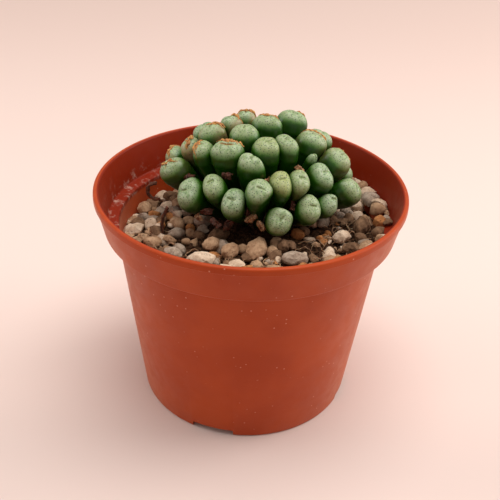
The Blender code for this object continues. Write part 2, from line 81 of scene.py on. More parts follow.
log = logging.getLogger("conophytum")

Colour = tuple[float, float, float, float]


# --- Shared helpers -----------------------------------------------------------------------

def tone(red: int, green: int, blue: int) -> Colour:
    """Return a display colour, 0 to 255 in each channel, as the linear colour nodes take.

    Args:
        red: Red channel.
        green: Green channel.
        blue: Blue channel.

    Returns:
        The linear colour, with alpha 1.
    """
    linear = []
    for channel in (red, green, blue):
        share = channel / 255
        low = share / 12.92
        high = ((share + 0.055) / 1.055) ** 2.4
        linear.append(low if share <= 0.04045 else high)
    return (linear[0], linear[1], linear[2], 1.0)


def smoothstep(low: float, high: float, value: np.ndarray) -> np.ndarray:
    """Return 0 below low, 1 above high, and an eased share between them.

    Args:
        low: Where the rise starts.
        high: Where the rise ends.
        value: The values to ease.

    Returns:
        The eased shares.
    """
    share = np.clip((value - low) / (high - low), 0, 1)
    return share * share * (3 - 2 * share)


def deselect_all() -> None:
    """Leave nothing selected and nothing active."""
    for thing in bpy.context.view_layer.objects:
        thing.select_set(False)
    bpy.context.view_layer.objects.active = None


def select_only(piece: bpy.types.Object) -> None:
    """Select one object and make it active.

    Args:
        piece: The object to select.
    """
    deselect_all()
    piece.select_set(True)
    bpy.context.view_layer.objects.active = piece


def new_piece(name: str) -> bpy.types.Object:
    """Name the primitive that was just added.

    Args:
        name: The piece's name.

    Returns:
        The active object.
    """
    piece = bpy.context.active_object
    piece.name = name
    piece.data.name = name
    return piece


def points_of(piece: bpy.types.Object) -> np.ndarray:
    """Return a mesh's vertices as an array of points.

    Args:
        piece: A mesh object at the origin.

    Returns:
        An (n, 3) array.
    """
    flat = np.empty(len(piece.data.vertices) * 3)
    piece.data.vertices.foreach_get("co", flat)
    return flat.reshape(-1, 3)


def set_points(piece: bpy.types.Object, points: np.ndarray) -> None:
    """Move a mesh's vertices.

    Args:
        piece: The mesh object.
        points: An (n, 3) array.
    """
    piece.data.vertices.foreach_set("co", np.ascontiguousarray(points, dtype=np.float32).ravel())
    piece.data.update()


def set_attribute(piece: bpy.types.Object, name: str, values: np.ndarray) -> None:
    """Store one number for each vertex.

    Args:
        piece: The mesh object.
        name: The attribute's name.
        values: One value for each vertex.
    """
    layer = piece.data.attributes.new(name, "FLOAT", "POINT")
    layer.data.foreach_set("value", np.asarray(values, dtype=np.float32))


def set_uv(piece: bpy.types.Object, places: np.ndarray) -> None:
    """Give a mesh a UV map that follows its vertices.

    Args:
        piece: The mesh object.
        places: An (n, 2) array, one place for each vertex.
    """
    mesh = piece.data
    layer = mesh.uv_layers.active or mesh.uv_layers.new(name="UVMap")
    corners = np.empty(len(mesh.loops), dtype=np.int64)
    mesh.loops.foreach_get("vertex_index", corners)
    layer.data.foreach_set("uv", places[corners].astype(np.float32).ravel())


def shade(piece: bpy.types.Object, crease: float) -> None:
    """Shade a piece smooth but for edges sharper than an angle.

    Args:
        piece: The mesh object.
        crease: The angle, in degrees.
    """
    select_only(piece)
    bpy.ops.object.shade_smooth_by_angle(angle=math.radians(crease))


def recalculate_normals(piece: bpy.types.Object) -> None:
    """Turn all of a piece's faces outward.

    Args:
        piece: The mesh object.
    """
    select_only(piece)
    bpy.ops.object.mode_set(mode="EDIT")
    bpy.ops.mesh.select_all(action="SELECT")
    bpy.ops.mesh.normals_make_consistent(inside=False)
    bpy.ops.object.mode_set(mode="OBJECT")


def place(piece: bpy.types.Object, finish: bpy.types.Material, slot: str, *nodes: str) -> None:
    """Dress a finished piece and tie it to the frame.

    Args:
        piece: The finished piece.
        finish: Its material.
        slot: The record's material slot; not used.
        *nodes: The CAD nodes that it stands for.
    """
    piece.data.materials.clear()
    piece.data.materials.append(finish)
    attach(piece, BODY)
    if nodes:
        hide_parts(*nodes)
    log.info("%s: %d faces", piece.name, len(piece.data.polygons))


def tree_of(*nodes: str) -> BVHTree:
    """Return a search tree over CAD nodes' faces.

    Args:
        *nodes: Names of CAD nodes.

    Returns:
        One tree over all of them.
    """
    points: list[Vector] = []
    faces: list[list[int]] = []
    for node in nodes:
        mesh = bpy.data.objects[node].data
        start = len(points)
        points.extend(vertex.co.copy() for vertex in mesh.vertices)
        faces.extend([start + i for i in face.vertices] for face in mesh.polygons)
    return BVHTree.FromPolygons(points, faces)


def crown_centre() -> Vector:
    """Return the middle of the crown's dome, below its top, from its CAD box."""
    low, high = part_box("root_crown")
    middle = (low + high) / 2
    return Vector((middle.x, middle.y, high.z - CROWN_DEPTH))


def directions(random: np.random.Generator, count: int) -> np.ndarray:
    """Return random directions, one to a row.

    Args:
        random: The generator to draw from.
        count: How many.

    Returns:
        A (count, 3) array of unit vectors.
    """
    rows = random.normal(size=(count, 3))
    return rows / np.linalg.norm(rows, axis=1)[:, None]


# --- Materials ----------------------------------------------------------------------------

class Sketch:
    """The nodes of one material, with short ways to add and join them."""

    def __init__(self, name: str) -> None:
        """Start a material with a Principled shader.

        Args:
            name: The material's name.
        """
        self.material = bpy.data.materials.new(name)
        self.material.use_nodes = True
        self.tree = self.material.node_tree
        self.shader = self.tree.nodes["Principled BSDF"]
        self.coordinates = self.tree.nodes.new("ShaderNodeTexCoord")

    def feed(self, socket: bpy.types.NodeSocket, value: object) -> None:
        """Give an input a value, or join another node's output to it.

        Args:
            socket: The input.
            value: The value or the other node's output.
        """
        if isinstance(value, bpy.types.NodeSocket):
            self.tree.links.new(value, socket)
        else:
            socket.default_value = value

    def add(self, kind: str, inputs: dict, **settings: object) -> bpy.types.Node:
        """Add a node.

        Args:
            kind: The node's type.
            inputs: A value or a socket for each named or numbered input.
            **settings: The node's own properties.

        Returns:
            The node.
        """
        node = self.tree.nodes.new(kind)
        for key, value in settings.items():
            setattr(node, key, value)
        for key, value in inputs.items():
            self.feed(node.inputs[key], value)
        return node

    def stretched(self, stretch: tuple[float, float, float]) -> bpy.types.NodeSocket:
        """Return Object coordinates, multiplied along each axis."""
        vector = self.coordinates.outputs["Object"]
        mapping = self.add("ShaderNodeMapping", {"Vector": vector, "Scale": stretch})
        return mapping.outputs["Vector"]

    def noise(self, size: float, detail: float = 4, roughness: float = 0.55,
              vector: bpy.types.NodeSocket | None = None) -> bpy.types.NodeSocket:
        """Return a noise value whose blotches are about size metres across.

        Args:
            size: The blotches' size.
            detail: How many finer layers it has.
            roughness: How strong the finer layers are.
            vector: Coordinates, Object coordinates if left out.

        Returns:
            The value socket.
        """
        inputs = {"Vector": vector or self.coordinates.outputs["Object"], "Scale": 1 / size,
                  "Detail": detail, "Roughness": roughness}
        return self.add("ShaderNodeTexNoise", inputs).outputs["Fac"]

    def cells(self, size: float, vector: bpy.types.NodeSocket | None = None,
              flat: bool = False, output: str = "Distance") -> bpy.types.NodeSocket:
        """Return a Voronoi pattern with cells about size across.

        Args:
            size: The cells' size in the coordinates' unit.
            vector: Coordinates, Object coordinates if left out.
            flat: Whether the pattern is two-dimensional.
            output: Which output to return.

        Returns:
            The output socket.
        """
        inputs = {"Vector": vector or self.coordinates.outputs["Object"], "Scale": 1 / size}
        dimensions = "2D" if flat else "3D"
        node = self.add("ShaderNodeTexVoronoi", inputs, voronoi_dimensions=dimensions)
        return node.outputs[output]

    def attribute(self, name: str) -> bpy.types.NodeSocket:
        """Return a stored attribute's value."""
        return self.add("ShaderNodeAttribute", {}, attribute_name=name).outputs["Fac"]

    def axes(self) -> tuple[bpy.types.NodeSocket, ...]:
        """Return the X, Y and Z of the Object coordinates."""
        inputs = {0: self.coordinates.outputs["Object"]}
        return tuple(self.add("ShaderNodeSeparateXYZ", inputs).outputs)

    def calculate(self, kind: str, first: object, second: object = 0.0) -> bpy.types.NodeSocket:
        """Return the result of a Math node.

        Args:
            kind: The operation.
            first: A socket or a number.
            second: A socket or a number.

        Returns:
            The value socket.
        """
        return self.add("ShaderNodeMath", {0: first, 1: second}, operation=kind).outputs[0]

    def product(self, first: object, *others: object) -> bpy.types.NodeSocket:
        """Return sockets and numbers multiplied together."""
        for other in others:
            first = self.calculate("MULTIPLY", first, other)
        return first

    def ease(self, value: bpy.types.NodeSocket, low: float, high: float,
             start: float = 0.0, end: float = 1.0) -> bpy.types.NodeSocket:
        """Map a value smoothly from low..high to start..end.

        Args:
            value: The socket to map.
            low: Where the change starts.
            high: Where it ends.
            start: The result at low.
            end: The result at high.

        Returns:
            The mapped socket.
        """
        inputs = {"Value": value, "From Min": low, "From Max": high, "To Min": start,
                  "To Max": end}
        node = self.add("ShaderNodeMapRange", inputs, interpolation_type="SMOOTHSTEP")
        return node.outputs["Result"]

    def mix(self, share: object, first: object, second: object,
            blend: str = "MIX") -> bpy.types.NodeSocket:
        """Return two colours mixed.

        Args:
            share: How much of the second, a socket or a number.
            first: The first colour or its socket.
            second: The second colour or its socket.
            blend: The way of mixing.

        Returns:
            The colour socket.
        """
        node = self.add("ShaderNodeMix", {}, data_type="RGBA", blend_type=blend)
        for key, value in (("Factor_Float", share), ("A_Color", first), ("B_Color", second)):
            self.feed(next(entry for entry in node.inputs if entry.identifier == key), value)
        return next(entry for entry in node.outputs if entry.identifier == "Result_Color")

    def bump(self, height: bpy.types.NodeSocket, depth: float, strength: float = 1.0,
             normal: bpy.types.NodeSocket | None = None) -> bpy.types.NodeSocket:
        """Return a normal roughened by a height.

        Args:
            height: The height socket, 0 to 1.
            depth: What a height of 1 is, in metres.
            strength: How much of it shows.
            normal: A normal to roughen further.

        Returns:
            The normal socket.
        """
        inputs = {"Height": height, "Distance": depth, "Strength": strength}
        if normal:
            inputs["Normal"] = normal
        return self.add("ShaderNodeBump", inputs).outputs["Normal"]

    def finish(self, colour: object, roughness: object,
               normal: bpy.types.NodeSocket | None = None, **others: object) -> bpy.types.Material:
        """Join the pattern to the shader.

        Args:
            colour: The base colour or its socket.
            roughness: The roughness or its socket.
            normal: The roughened normal.
            **others: Other shader inputs, with underscores for spaces.

        Returns:
            The material.
        """
        wanted = {"Base Color": colour, "Roughness": roughness}
        if normal:
            wanted["Normal"] = normal
        wanted.update({key.replace("_", " "): value for key, value in others.items()})
        for key, value in wanted.items():
            self.feed(self.shader.inputs[key], value)
        return self.material


@dataclass(frozen=True)
class PotPlastic:
    """Satin terracotta-coloured plastic, dusty and lime-marked, with painted shade inside the
    collar.
    """

    base: Colour = tone(176, 66, 20)
    deep: Colour = tone(166, 58, 14)
    stain: Colour = tone(126, 42, 14)
    shaded: Colour = tone(124, 22, 2)
    dust: Colour = tone(222, 160, 132)
    lime: Colour = tone(226, 196, 176)

    def build(self, ledge: float, rim: float, inner: float, taper: float) -> bpy.types.Material:
        """Return the material.

        Args:
            ledge: Height of the inner ledge.
            rim: Height of the rim.
            inner: Radius of the collar's inside at the rim.
            taper: How much the collar narrows over each unit of its height.

        Returns:
            The material.
        """
        sketch = Sketch("pot_plastic")
        scuff = sketch.noise(1.6 * MM, 8, 0.75, sketch.stretched((1, 1, 4)))
        scuff = sketch.ease(scuff, 0.63, 0.74, 0, 0.32)
        colour = self.weathered(sketch, scuff)
        x, y, z = sketch.axes()
        radius = sketch.calculate("SQRT", sketch.calculate(
            "ADD", sketch.product(x, x), sketch.product(y, y)))
        depth = sketch.calculate("SUBTRACT", rim, z)
        lean = sketch.calculate("ADD", radius, sketch.product(depth, taper))
        inside = sketch.ease(lean, inner + 0.2 * MM, inner + 0.5 * MM, 1, 0)
        above = sketch.ease(z, ledge - 2 * MM, ledge - 1 * MM)
        # Painted shade: the collar's inside, above the ledge, is mixed toward a darker red where
        # the light does not reach.
        painted_collar_shade = sketch.product(inside, above, 0.8)
        colour = sketch.mix(painted_collar_shade, colour, self.shaded)
        low = sketch.ease(z, ledge - 1 * MM, ledge + 6 * MM, 1, 0)
        left = sketch.ease(x, -38 * MM, -22 * MM, 1, 0.06)
        crust = sketch.ease(sketch.noise(3 * MM, 8, 0.72), 0.5, 0.66)
        crust = sketch.product(crust, inside, low, left, above)
        colour = sketch.mix(sketch.product(crust, 0.45), colour, self.lime)
        sheen = sketch.product(sketch.calculate("SUBTRACT", 1.0, painted_collar_shade), 0.28)
        rough = sketch.ease(sketch.noise(4 * MM, 5), 0.3, 0.7, 0.38, 0.52)
        rough = sketch.calculate("ADD", rough, sketch.product(crust, 0.4))
        normal = sketch.bump(sketch.noise(0.35 * MM, 3), 0.02 * MM, 0.6)
        normal = sketch.bump(scuff, 0.05 * MM, 0.5, normal)
        return sketch.finish(colour, rough, normal, Subsurface_Weight=0.08,
                             Subsurface_Scale=1.0 * MM, Subsurface_Radius=(1.0, 0.35, 0.15),
                             Specular_IOR_Level=0.18, Sheen_Weight=sheen,
                             Sheen_Roughness=0.4, Sheen_Tint=tone(255, 196, 160))

    def weathered(self, sketch: Sketch, scuff: bpy.types.NodeSocket) -> bpy.types.NodeSocket:
        """Return the plastic's own colour: clouded, specked with dust and scuffed.

        Args:
            sketch: The material's nodes.
            scuff: How scuffed each place is.

        Returns:
            The colour socket.
        """
        broad = sketch.ease(sketch.noise(18 * MM, 3), 0.35, 0.65)
        colour = sketch.mix(broad, self.base, self.deep)
        cloud = sketch.ease(sketch.noise(5 * MM, 6, 0.7), 0.62, 0.78, 0, 0.35)
        colour = sketch.mix(cloud, colour, self.stain)
        specks = sketch.ease(sketch.cells(2.1 * MM), 0.05, 0.14, 1, 0)
        patchy = sketch.ease(sketch.noise(9 * MM, 2), 0.46, 0.58)
        specks = sketch.product(specks, patchy)
        colour = sketch.mix(sketch.product(specks, 0.6), colour, self.dust)
        return sketch.mix(scuff, colour, self.dust)


@dataclass(frozen=True)
class Skin:
    """Waxy skin of the heads: grey-green dotted faces over deep green sides."""

    face: Colour = tone(168, 182, 144)
    face_deep: Colour = tone(118, 144, 94)
    side: Colour = tone(58, 108, 12)
    side_deep: Colour = tone(26, 66, 2)
    dot: Colour = tone(44, 62, 34)
    slit: Colour = tone(92, 104, 40)
    dry: Colour = tone(168, 104, 40)
    blush: Colour = tone(176, 128, 96)
    sun: Colour = tone(160, 160, 86)

    def build(self) -> bpy.types.Material:
        """Return the material, which reads the attributes bloom, sun, rust, slit and husk."""
        sketch = Sketch("succulent_skin")
        bloom = sketch.attribute("bloom")
        mottle = sketch.noise(1.1 * MM, 5, 0.6)
        edge = sketch.calculate("ADD", bloom, sketch.ease(mottle, 0.2, 0.8, -0.18, 0.18))
        edge = sketch.ease(edge, 0.12, 1.0)
        face = sketch.mix(sketch.ease(mottle, 0.35, 0.7), self.face, self.face_deep)
        face = sketch.mix(sketch.product(sketch.attribute("sun"), 0.7), face, self.sun)
        side = sketch.mix(sketch.ease(bloom, 0.0, 0.5), self.side_deep, self.side)
        colour = sketch.mix(edge, side, face)
        uv = sketch.coordinates.outputs["UV"]
        warp = sketch.cells(0.82, uv, flat=True)
        size = sketch.ease(sketch.noise(1.7, 2, 0.5, uv), 0.3, 0.7, 0.11, 0.22)
        soft = sketch.calculate("SUBTRACT", size, warp)
        dots = sketch.ease(soft, -0.06, 0.05)
        dots = sketch.product(dots, sketch.ease(bloom, 0.1, 0.7, 0.25, 0.8))
        colour = sketch.mix(dots, colour, self.dot)
        rust = sketch.attribute("rust")
        ragged = sketch.ease(sketch.noise(0.7 * MM, 5, 0.7), 0.3, 0.6, 0.45, 1)
        rust = sketch.product(rust, ragged)
        colour = sketch.mix(rust, colour, self.blush)
        slit = sketch.attribute("slit")
        colour = sketch.mix(sketch.ease(slit, 0.15, 0.7, 0, 0.6), colour, self.slit)
        colour = sketch.mix(sketch.attribute("husk"), colour, self.dry)
        rough = sketch.ease(bloom, 0, 1, 0.28, 0.44)
        fine = sketch.noise(0.16 * MM, 3)
        normal = sketch.bump(fine, 0.03 * MM, 0.5)
        normal = sketch.bump(dots, -0.03 * MM, 0.6, normal)
        return sketch.finish(colour, rough, normal, Subsurface_Weight=0.15,
                             Subsurface_Scale=1.0 * MM, Subsurface_Radius=(0.35, 1.0, 0.12),
                             Specular_IOR_Level=0.5)


class StoneTone(Enum):
    """The gravel's colours, each as a light and a dark display colour."""

    TAN = ((196, 160, 126), (150, 114, 84))
    PALE = ((228, 204, 178), (192, 162, 134))
    GREY = ((192, 172, 152), (140, 118, 100))
    BROWN = ((146, 112, 84), (92, 66, 46))
    OCHRE = ((198, 136, 84), (146, 90, 48))


@dataclass(frozen=True)
class StoneFinish:
    """Rough pumice-like stone: mottled, pitted and dusty with peat."""

    tones: StoneTone
    peat: Colour = tone(58, 38, 26)

    def build(self) -> bpy.types.Material:
        """Return the material."""
        light, dark = (tone(*shade_of) for shade_of in self.tones.value)
        sketch = Sketch(f"gravel_{self.tones.name.lower()}")
        mottle = sketch.noise(1.8 * MM, 8, 0.68)
        colour = sketch.mix(sketch.ease(mottle, 0.34, 0.68), light, dark)
        stone = sketch.noise(9 * MM, 1)
        colour = sketch.mix(sketch.ease(stone, 0.3, 0.7, 0, 0.4), colour, dark)
        pits = sketch.ease(sketch.cells(0.55 * MM), 0.08, 0.3, 1, 0)
        pits = sketch.product(pits, sketch.ease(sketch.noise(1.2 * MM, 2), 0.45, 0.6))
        colour = sketch.mix(sketch.product(pits, 0.65), colour, self.peat)
        smear = sketch.ease(sketch.noise(3.1 * MM, 6, 0.72), 0.58, 0.72, 0, 0.55)
        colour = sketch.mix(smear, colour, self.peat)
        height = sketch.calculate("SUBTRACT", mottle, sketch.product(pits, 0.6))
        normal = sketch.bump(height, 0.45 * MM, 0.9)
        return sketch.finish(colour, 0.92, normal, Specular_IOR_Level=0.2)


@dataclass(frozen=True)
class PeatFinish:
    """Dark crumbly peat with paler fibres."""

    dark: Colour = tone(52, 32, 20)
    light: Colour = tone(112, 78, 52)

    def build(self, name: str = "peat") -> bpy.types.Material:
        """Return the material under a name."""
        sketch = Sketch(name)
        crumb = sketch.noise(0.9 * MM, 8, 0.75)
        colour = sketch.mix(sketch.ease(crumb, 0.42, 0.72), self.dark, self.light)
        normal = sketch.bump(crumb, 0.6 * MM, 1.0)
        return sketch.finish(colour, 0.95, normal, Specular_IOR_Level=0.15)


@dataclass(frozen=True)
class DryFinish:
    """Dry plant skin: streaked, papery and a little translucent."""

    name: str
    light: Colour
    dark: Colour

    def build(self) -> bpy.types.Material:
        """Return the material."""
        sketch = Sketch(self.name)
        streak = sketch.noise(0.7 * MM, 6, 0.7, sketch.stretched((1, 1, 0.35)))
        colour = sketch.mix(sketch.ease(streak, 0.32, 0.68), self.light, self.dark)
        normal = sketch.bump(streak, 0.12 * MM, 0.9)
        return sketch.finish(colour, 0.78, normal, Subsurface_Weight=0.15,
                             Subsurface_Scale=0.5 * MM)


# --- Pot ----------------------------------------------------------------------------------

@dataclass
class NurseryPot:
    """The moulded pot: rolled lip, deep collar, inner ledge, foot with drainage notches."""

    wall: float = 0.9 * MM
    lip_height: float = 2.0 * MM
    lip_step: float = 0.5 * MM
    collar_height: float = 10.6 * MM
    collar_taper: float = 1.9 * MM
    shoulder: float = 37.0 * MM
    foot: float = 30.5 * MM
    foot_wall: float = 1.6 * MM
    floor_height: float = 2.4 * MM
    floor_thickness: float = 1.2 * MM
    notch_width: float = 12.0 * MM
    notch_height: float = 2.0 * MM
    notch_turn: float = math.radians(-106)
    notch_count: int = 4
    hole_radius: float = 3.0 * MM
    hole_circle: float = 18.0 * MM
    sides: int = 192
    fillet_steps: int = 4
    rim: float = field(init=False)
    height: float = field(init=False)

    def __post_init__(self) -> None:
        """Take the overall size from the CAD pot."""
        low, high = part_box("pot")
        self.rim = (high.x - low.x) / 2
        self.height = high.z

    @property
    def ledge(self) -> float:
        """Height of the inner ledge."""
        return self.height - self.collar_height + self.wall

    @property
    def collar_inner(self) -> float:
        """Radius inside the collar, at its top."""
        return self.rim - self.lip_step - self.wall

    def body_radius(self, height: float) -> float:
        """Return the body's outside radius at a height.

        Args:
            height: Height above the foot.

        Returns:
            The radius.
        """
        share = height / (self.height - self.collar_height)
        return self.foot + share * (self.shoulder - self.foot)

    def section(self) -> list[tuple[float, float, float]]:
        """Return the pot's section as (radius, height, fillet) corners."""
        collar_low = self.rim - self.lip_step - self.collar_taper
        under = self.height - self.collar_height
        floor = self.floor_height + self.floor_thickness
        tight = 0.25 * MM
        return [
            (self.foot - self.foot_wall, 0, tight),
            (self.foot - 0.05 * MM, 0, 0.8 * MM),
            (self.body_radius(under * 0.5), under * 0.5, 0),
            (self.shoulder, under, tight),
            (collar_low, under, 0.45 * MM),
            (self.rim - self.lip_step, self.height - self.lip_height, 0.3 * MM),
            (self.rim, self.height - self.lip_height + 0.1 * MM, 0.4 * MM),
            (self.rim, self.height, 0.85 * MM),
            (self.collar_inner, self.height, 0.5 * MM),
            (collar_low - self.wall, self.ledge, 0.5 * MM),
            (self.shoulder - self.wall, self.ledge - self.wall / 3, 0.4 * MM),
            (self.body_radius(floor) - self.wall, floor, 0.8 * MM),
            (self.hole_radius, floor, tight),
            (self.hole_radius, self.floor_height, tight),
            (self.foot - self.foot_wall, self.floor_height, tight),
        ]

    def rounded(self) -> list[Vector]:
        """Return the section's outline with each corner turned into an arc."""
        corners = self.section()
        outline = []
        for i, (radius, height, fillet) in enumerate(corners):
            here = Vector((radius, 0, height))
            before = Vector((corners[i - 1][0], 0, corners[i - 1][1]))
            after_corner = corners[(i + 1) % len(corners)]
            after = Vector((after_corner[0], 0, after_corner[1]))
            back = (before - here)
            ahead = (after - here)
            reach = min(fillet, 0.45 * back.length, 0.45 * ahead.length)
            if reach <= 0:
                outline.append(here)
                continue
            start = here + back.normalized() * reach
            end = here + ahead.normalized() * reach
            for step in range(self.fillet_steps + 1):
                share = step / self.fillet_steps
                first = start.lerp(here, share)
                second = here.lerp(end, share)
                outline.append(first.lerp(second, share))
        return outline

    def spun(self) -> bpy.types.Object:
        """Return the section spun into a closed shell."""
        outline = self.rounded()
        count = len(outline)
        bpy.ops.mesh.primitive_circle_add(vertices=count, radius=self.rim)
        pot = new_piece("moulded_pot")
        set_points(pot, np.array([tuple(point) for point in outline]))
        bpy.ops.object.mode_set(mode="EDIT")
        bpy.ops.mesh.select_all(action="SELECT")
        bpy.ops.mesh.spin(steps=self.sides, angle=math.tau, center=(0, 0, 0), axis=(0, 0, 1))
        bpy.ops.mesh.select_all(action="SELECT")
        bpy.ops.mesh.remove_doubles(threshold=0.01 * MM)
        bpy.ops.object.mode_set(mode="OBJECT")
        recalculate_normals(pot)
        return pot

    def cutter(self, turn: float) -> bpy.types.Object:
        """Return a rounded block that cuts one drainage notch.

        Args:
            turn: The notch's bearing.

        Returns:
            The block.
        """
        centre = (self.foot - self.foot_wall / 2)
        spot = (centre * math.cos(turn), centre * math.sin(turn), 0)
        bpy.ops.mesh.primitive_cube_add(size=1, location=spot, rotation=(0, 0, turn))
        block = new_piece("notch_block")
        block.scale = (self.foot_wall * 5.5, self.notch_width, 2 * self.notch_height)
        select_only(block)
        bpy.ops.object.transform_apply(location=True, rotation=True, scale=True)
        bevel = block.modifiers.new("round", "BEVEL")
        bevel.width = 0.5 * MM
        bevel.segments = 3
        bpy.ops.object.modifier_apply(modifier="round")
        return block

    def cut(self, pot: bpy.types.Object, tool: bpy.types.Object) -> None:
        """Cut the pot with a closed shape and remove the shape.

        Args:
            pot: The pot.
            tool: The shape to cut away.
        """
        select_only(pot)
        boolean = pot.modifiers.new("cut", "BOOLEAN")
        boolean.operation = "DIFFERENCE"
        boolean.solver = "EXACT"
        boolean.object = tool
        bpy.ops.object.modifier_apply(modifier="cut")
        bpy.data.objects.remove(tool, do_unlink=True)

    def build(self) -> None:
        """Build and dress the pot."""
        pot = self.spun()
        for k in range(self.notch_count):
            turn = self.notch_turn + math.tau * k / self.notch_count
            self.cut(pot, self.cutter(turn))
            spot = (self.hole_circle * math.cos(turn), self.hole_circle * math.sin(turn),
                    self.floor_height)
            bpy.ops.mesh.primitive_cylinder_add(vertices=48, radius=self.hole_radius,
                                                depth=6 * MM, location=spot)
            bore = new_piece("drainage_bore")
            bpy.ops.object.transform_apply(location=True, rotation=True, scale=True)
            self.cut(pot, bore)
        shade(pot, 35)
        finish = PotPlastic().build(self.ledge, self.height, self.collar_inner,
                                     self.collar_taper / self.collar_height)
        place(pot, finish, "pot_plastic", "pot")


# --- Heads --------------------------------------------------------------------------------

class SlitRun(Enum):
    """Which way a head's slit runs over its face."""

    ACROSS = math.pi / 2
    ALONG = 0.0


@dataclass(frozen=True)
class Slit:
    """The slit between a head's two leaves."""

    run: SlitRun = SlitRun.ACROSS
    shift: float = 0.0
    length: float = 2.6 * MM
    depth: float = 0.16 * MM
    width: float = 0.28 * MM
    dryness: float = 0.0


@dataclass
class SucculentHead:
    """One head: its CAD node's shape made smooth, with a slit, dots and a pale bloom."""

    node: str
    crown: Vector
    slit: Slit = field(default_factory=Slit)
    sun: float = 0.0
    rust: float = 0.0
    sides: int = 84
    rows: int = 64
    cap_rows: int = 42
    cap_share: float = 0.26
    fullness: float = 1.02
    pale_reach: float = 0.1 * MM
    green_reach: float = 3.6 * MM
    slit_bow: float = 0.12 * MM
    lip_rise: float = 0.07 * MM
    lump_size: float = 2.6 * MM
    lump_rise: float = 0.03
    blur: int = 6

    def __post_init__(self) -> None:
        """Measure the head's axis, length and face from its CAD node."""
        faces = bpy.data.objects[self.node].data.polygons
        points = np.array([tuple(v.co) for v in bpy.data.objects[self.node].data.vertices])
        summit = Vector(max(points, key=lambda p: (Vector(p) - self.crown).length))
        base = max(faces, key=lambda face: face.normal.dot(face.center - summit))
        self.axis = -base.normal.normalized()
        flat = [face for face in faces if face.normal.dot(base.normal) > 0.9999
                and abs((face.center - base.center).dot(base.normal)) < 0.01 * MM]
        self.root = self.pole(points, base.center, flat)
        self.tall = float(((points - np.array(self.root)) @ np.array(self.axis)).max())
        self.tree = tree_of(self.node)
        self.find_face_axes()

    def pole(self, points: np.ndarray, spot: Vector, flat: list) -> Vector:
        """Return where the axis meets the head's base.

        The vertex in the middle of the cap lies on the axis: it is the one that most of the
        cap's faces share.

        Args:
            points: The CAD node's vertices.
            spot: A point in the base.
            flat: The base's faces, whose vertices are left out.

        Returns:
            The axis's foot in the plane of the base.
        """
        in_base = {i for face in flat for i in face.vertices}
        count: dict[tuple, int] = {}
        for face in bpy.data.objects[self.node].data.polygons:
            for i in face.vertices:
                if i not in in_base:
                    key = tuple(np.round(points[i] / MM, 3))
                    count[key] = count.get(key, 0) + 1
        middle = Vector(max(count, key=count.get)) * MM
        return middle - self.axis * (middle - spot).dot(self.axis)

    @property
    def cap_base(self) -> float:
        """Where along the axis the rounded cap starts."""
        return self.tall - self.cap_share * self.tall

    def reach(self, origin: Vector, heading: Vector) -> float:
        """Return how far the CAD surface lies from a point on the axis.

        Args:
            origin: A point inside the head.
            heading: The way to look.

        Returns:
            The distance.
        """
        hit = self.tree.ray_cast(origin, heading)
        return hit[3] if hit[3] is not None else 0.5 * MM

    def find_face_axes(self) -> None:
        """Find the directions of the face's length and breadth."""
        side = self.axis.orthogonal().normalized()
        up = self.axis.cross(side)
        centre = self.root + self.axis * self.cap_base
        moments = np.zeros((2, 2))
        for k in range(36):
            angle = math.tau * k / 36
            heading = side * math.cos(angle) + up * math.sin(angle)
            far = self.reach(centre, heading)
            spot = np.array([math.cos(angle), math.sin(angle)]) * far
            moments += np.outer(spot, spot)
        values, vectors = np.linalg.eigh(moments)
        longest = vectors[:, int(np.argmax(values))]
        self.along = (side * longest[0] + up * longest[1]).normalized()
        if self.along.x + 0.3 * self.along.z < 0:
            self.along = -self.along
        self.across = self.axis.cross(self.along)

    def row_place(self, row: int) -> tuple[float, float]:
        """Return where a row's rays start along the axis, and their tilt toward the top.

        Args:
            row: The row, 0 at the top.

        Returns:
            The distance along the axis, and the tilt in radians.
        """
        if row <= self.cap_rows:
            return self.cap_base, math.pi / 2 * (1 - row / self.cap_rows)
        share = (row - self.cap_rows) / (self.rows - 1 - self.cap_rows)
        return self.cap_base - self.cap_base * min(share, 0.999), 0.0

    def radii(self) -> np.ndarray:
        """Return the smoothed distance to the surface for each row and side."""
        table = np.empty((self.rows, self.sides))
        for row in range(self.rows):
            distance, tilt = self.row_place(row)
            origin = self.root + self.axis * distance
            for k in range(self.sides):
                angle = math.tau * k / self.sides
                out = self.along * math.cos(angle) + self.across * math.sin(angle)
                heading = out * math.cos(tilt) + self.axis * math.sin(tilt)
                table[row, k] = self.reach(origin, heading)
        blur = self.blur
        spread = np.exp(-(np.arange(-blur, blur + 1) / (blur / 2)) ** 2)
        spread /= spread.sum()
        for _ in range(2):
            table = sum(w * np.roll(table, i - blur, axis=1) for i, w in enumerate(spread))
            over_top = np.roll(table[blur:0:-1], self.sides // 2, axis=1)
            padded = np.concatenate([over_top, table, np.repeat(table[-1:], blur, axis=0)])
            table = sum(w * padded[i:i + self.rows] for i, w in enumerate(spread))
        return table * self.fullness

    def carve(self, radius: np.ndarray, flat_a: np.ndarray, flat_b: np.ndarray,
              upper: np.ndarray, seed: int) -> tuple[np.ndarray, np.ndarray]:
        """Sink the slit into the face and raise its lips.

        Args:
            radius: The distance from the axis to each vertex.
            flat_a: Each vertex's place along the face.
            flat_b: Its place across the face.
            upper: How far each vertex belongs to the face.
            seed: Sets the slit's own bend.

        Returns:
            The carved distances, and how deep in the slit each vertex lies.
        """
        run = self.slit.run.value
        off = -(flat_a - self.slit.shift) * math.sin(run) + flat_b * math.cos(run)
        on = (flat_a - self.slit.shift) * math.cos(run) + flat_b * math.sin(run)
        off = off + self.slit_bow * np.sin(on / self.slit.length * 3 + seed)
        window = smoothstep(1.0, 0.55, np.abs(on) / (self.slit.length / 2))
        width = self.slit.width
        groove = np.exp(-(off / width) ** 2) * window * upper
        lips = np.exp(-((np.abs(off) - 2.2 * width) / (1.3 * width)) ** 2)
        carved = radius - self.slit.depth * groove + self.lip_rise * lips * window * upper
        return carved, groove

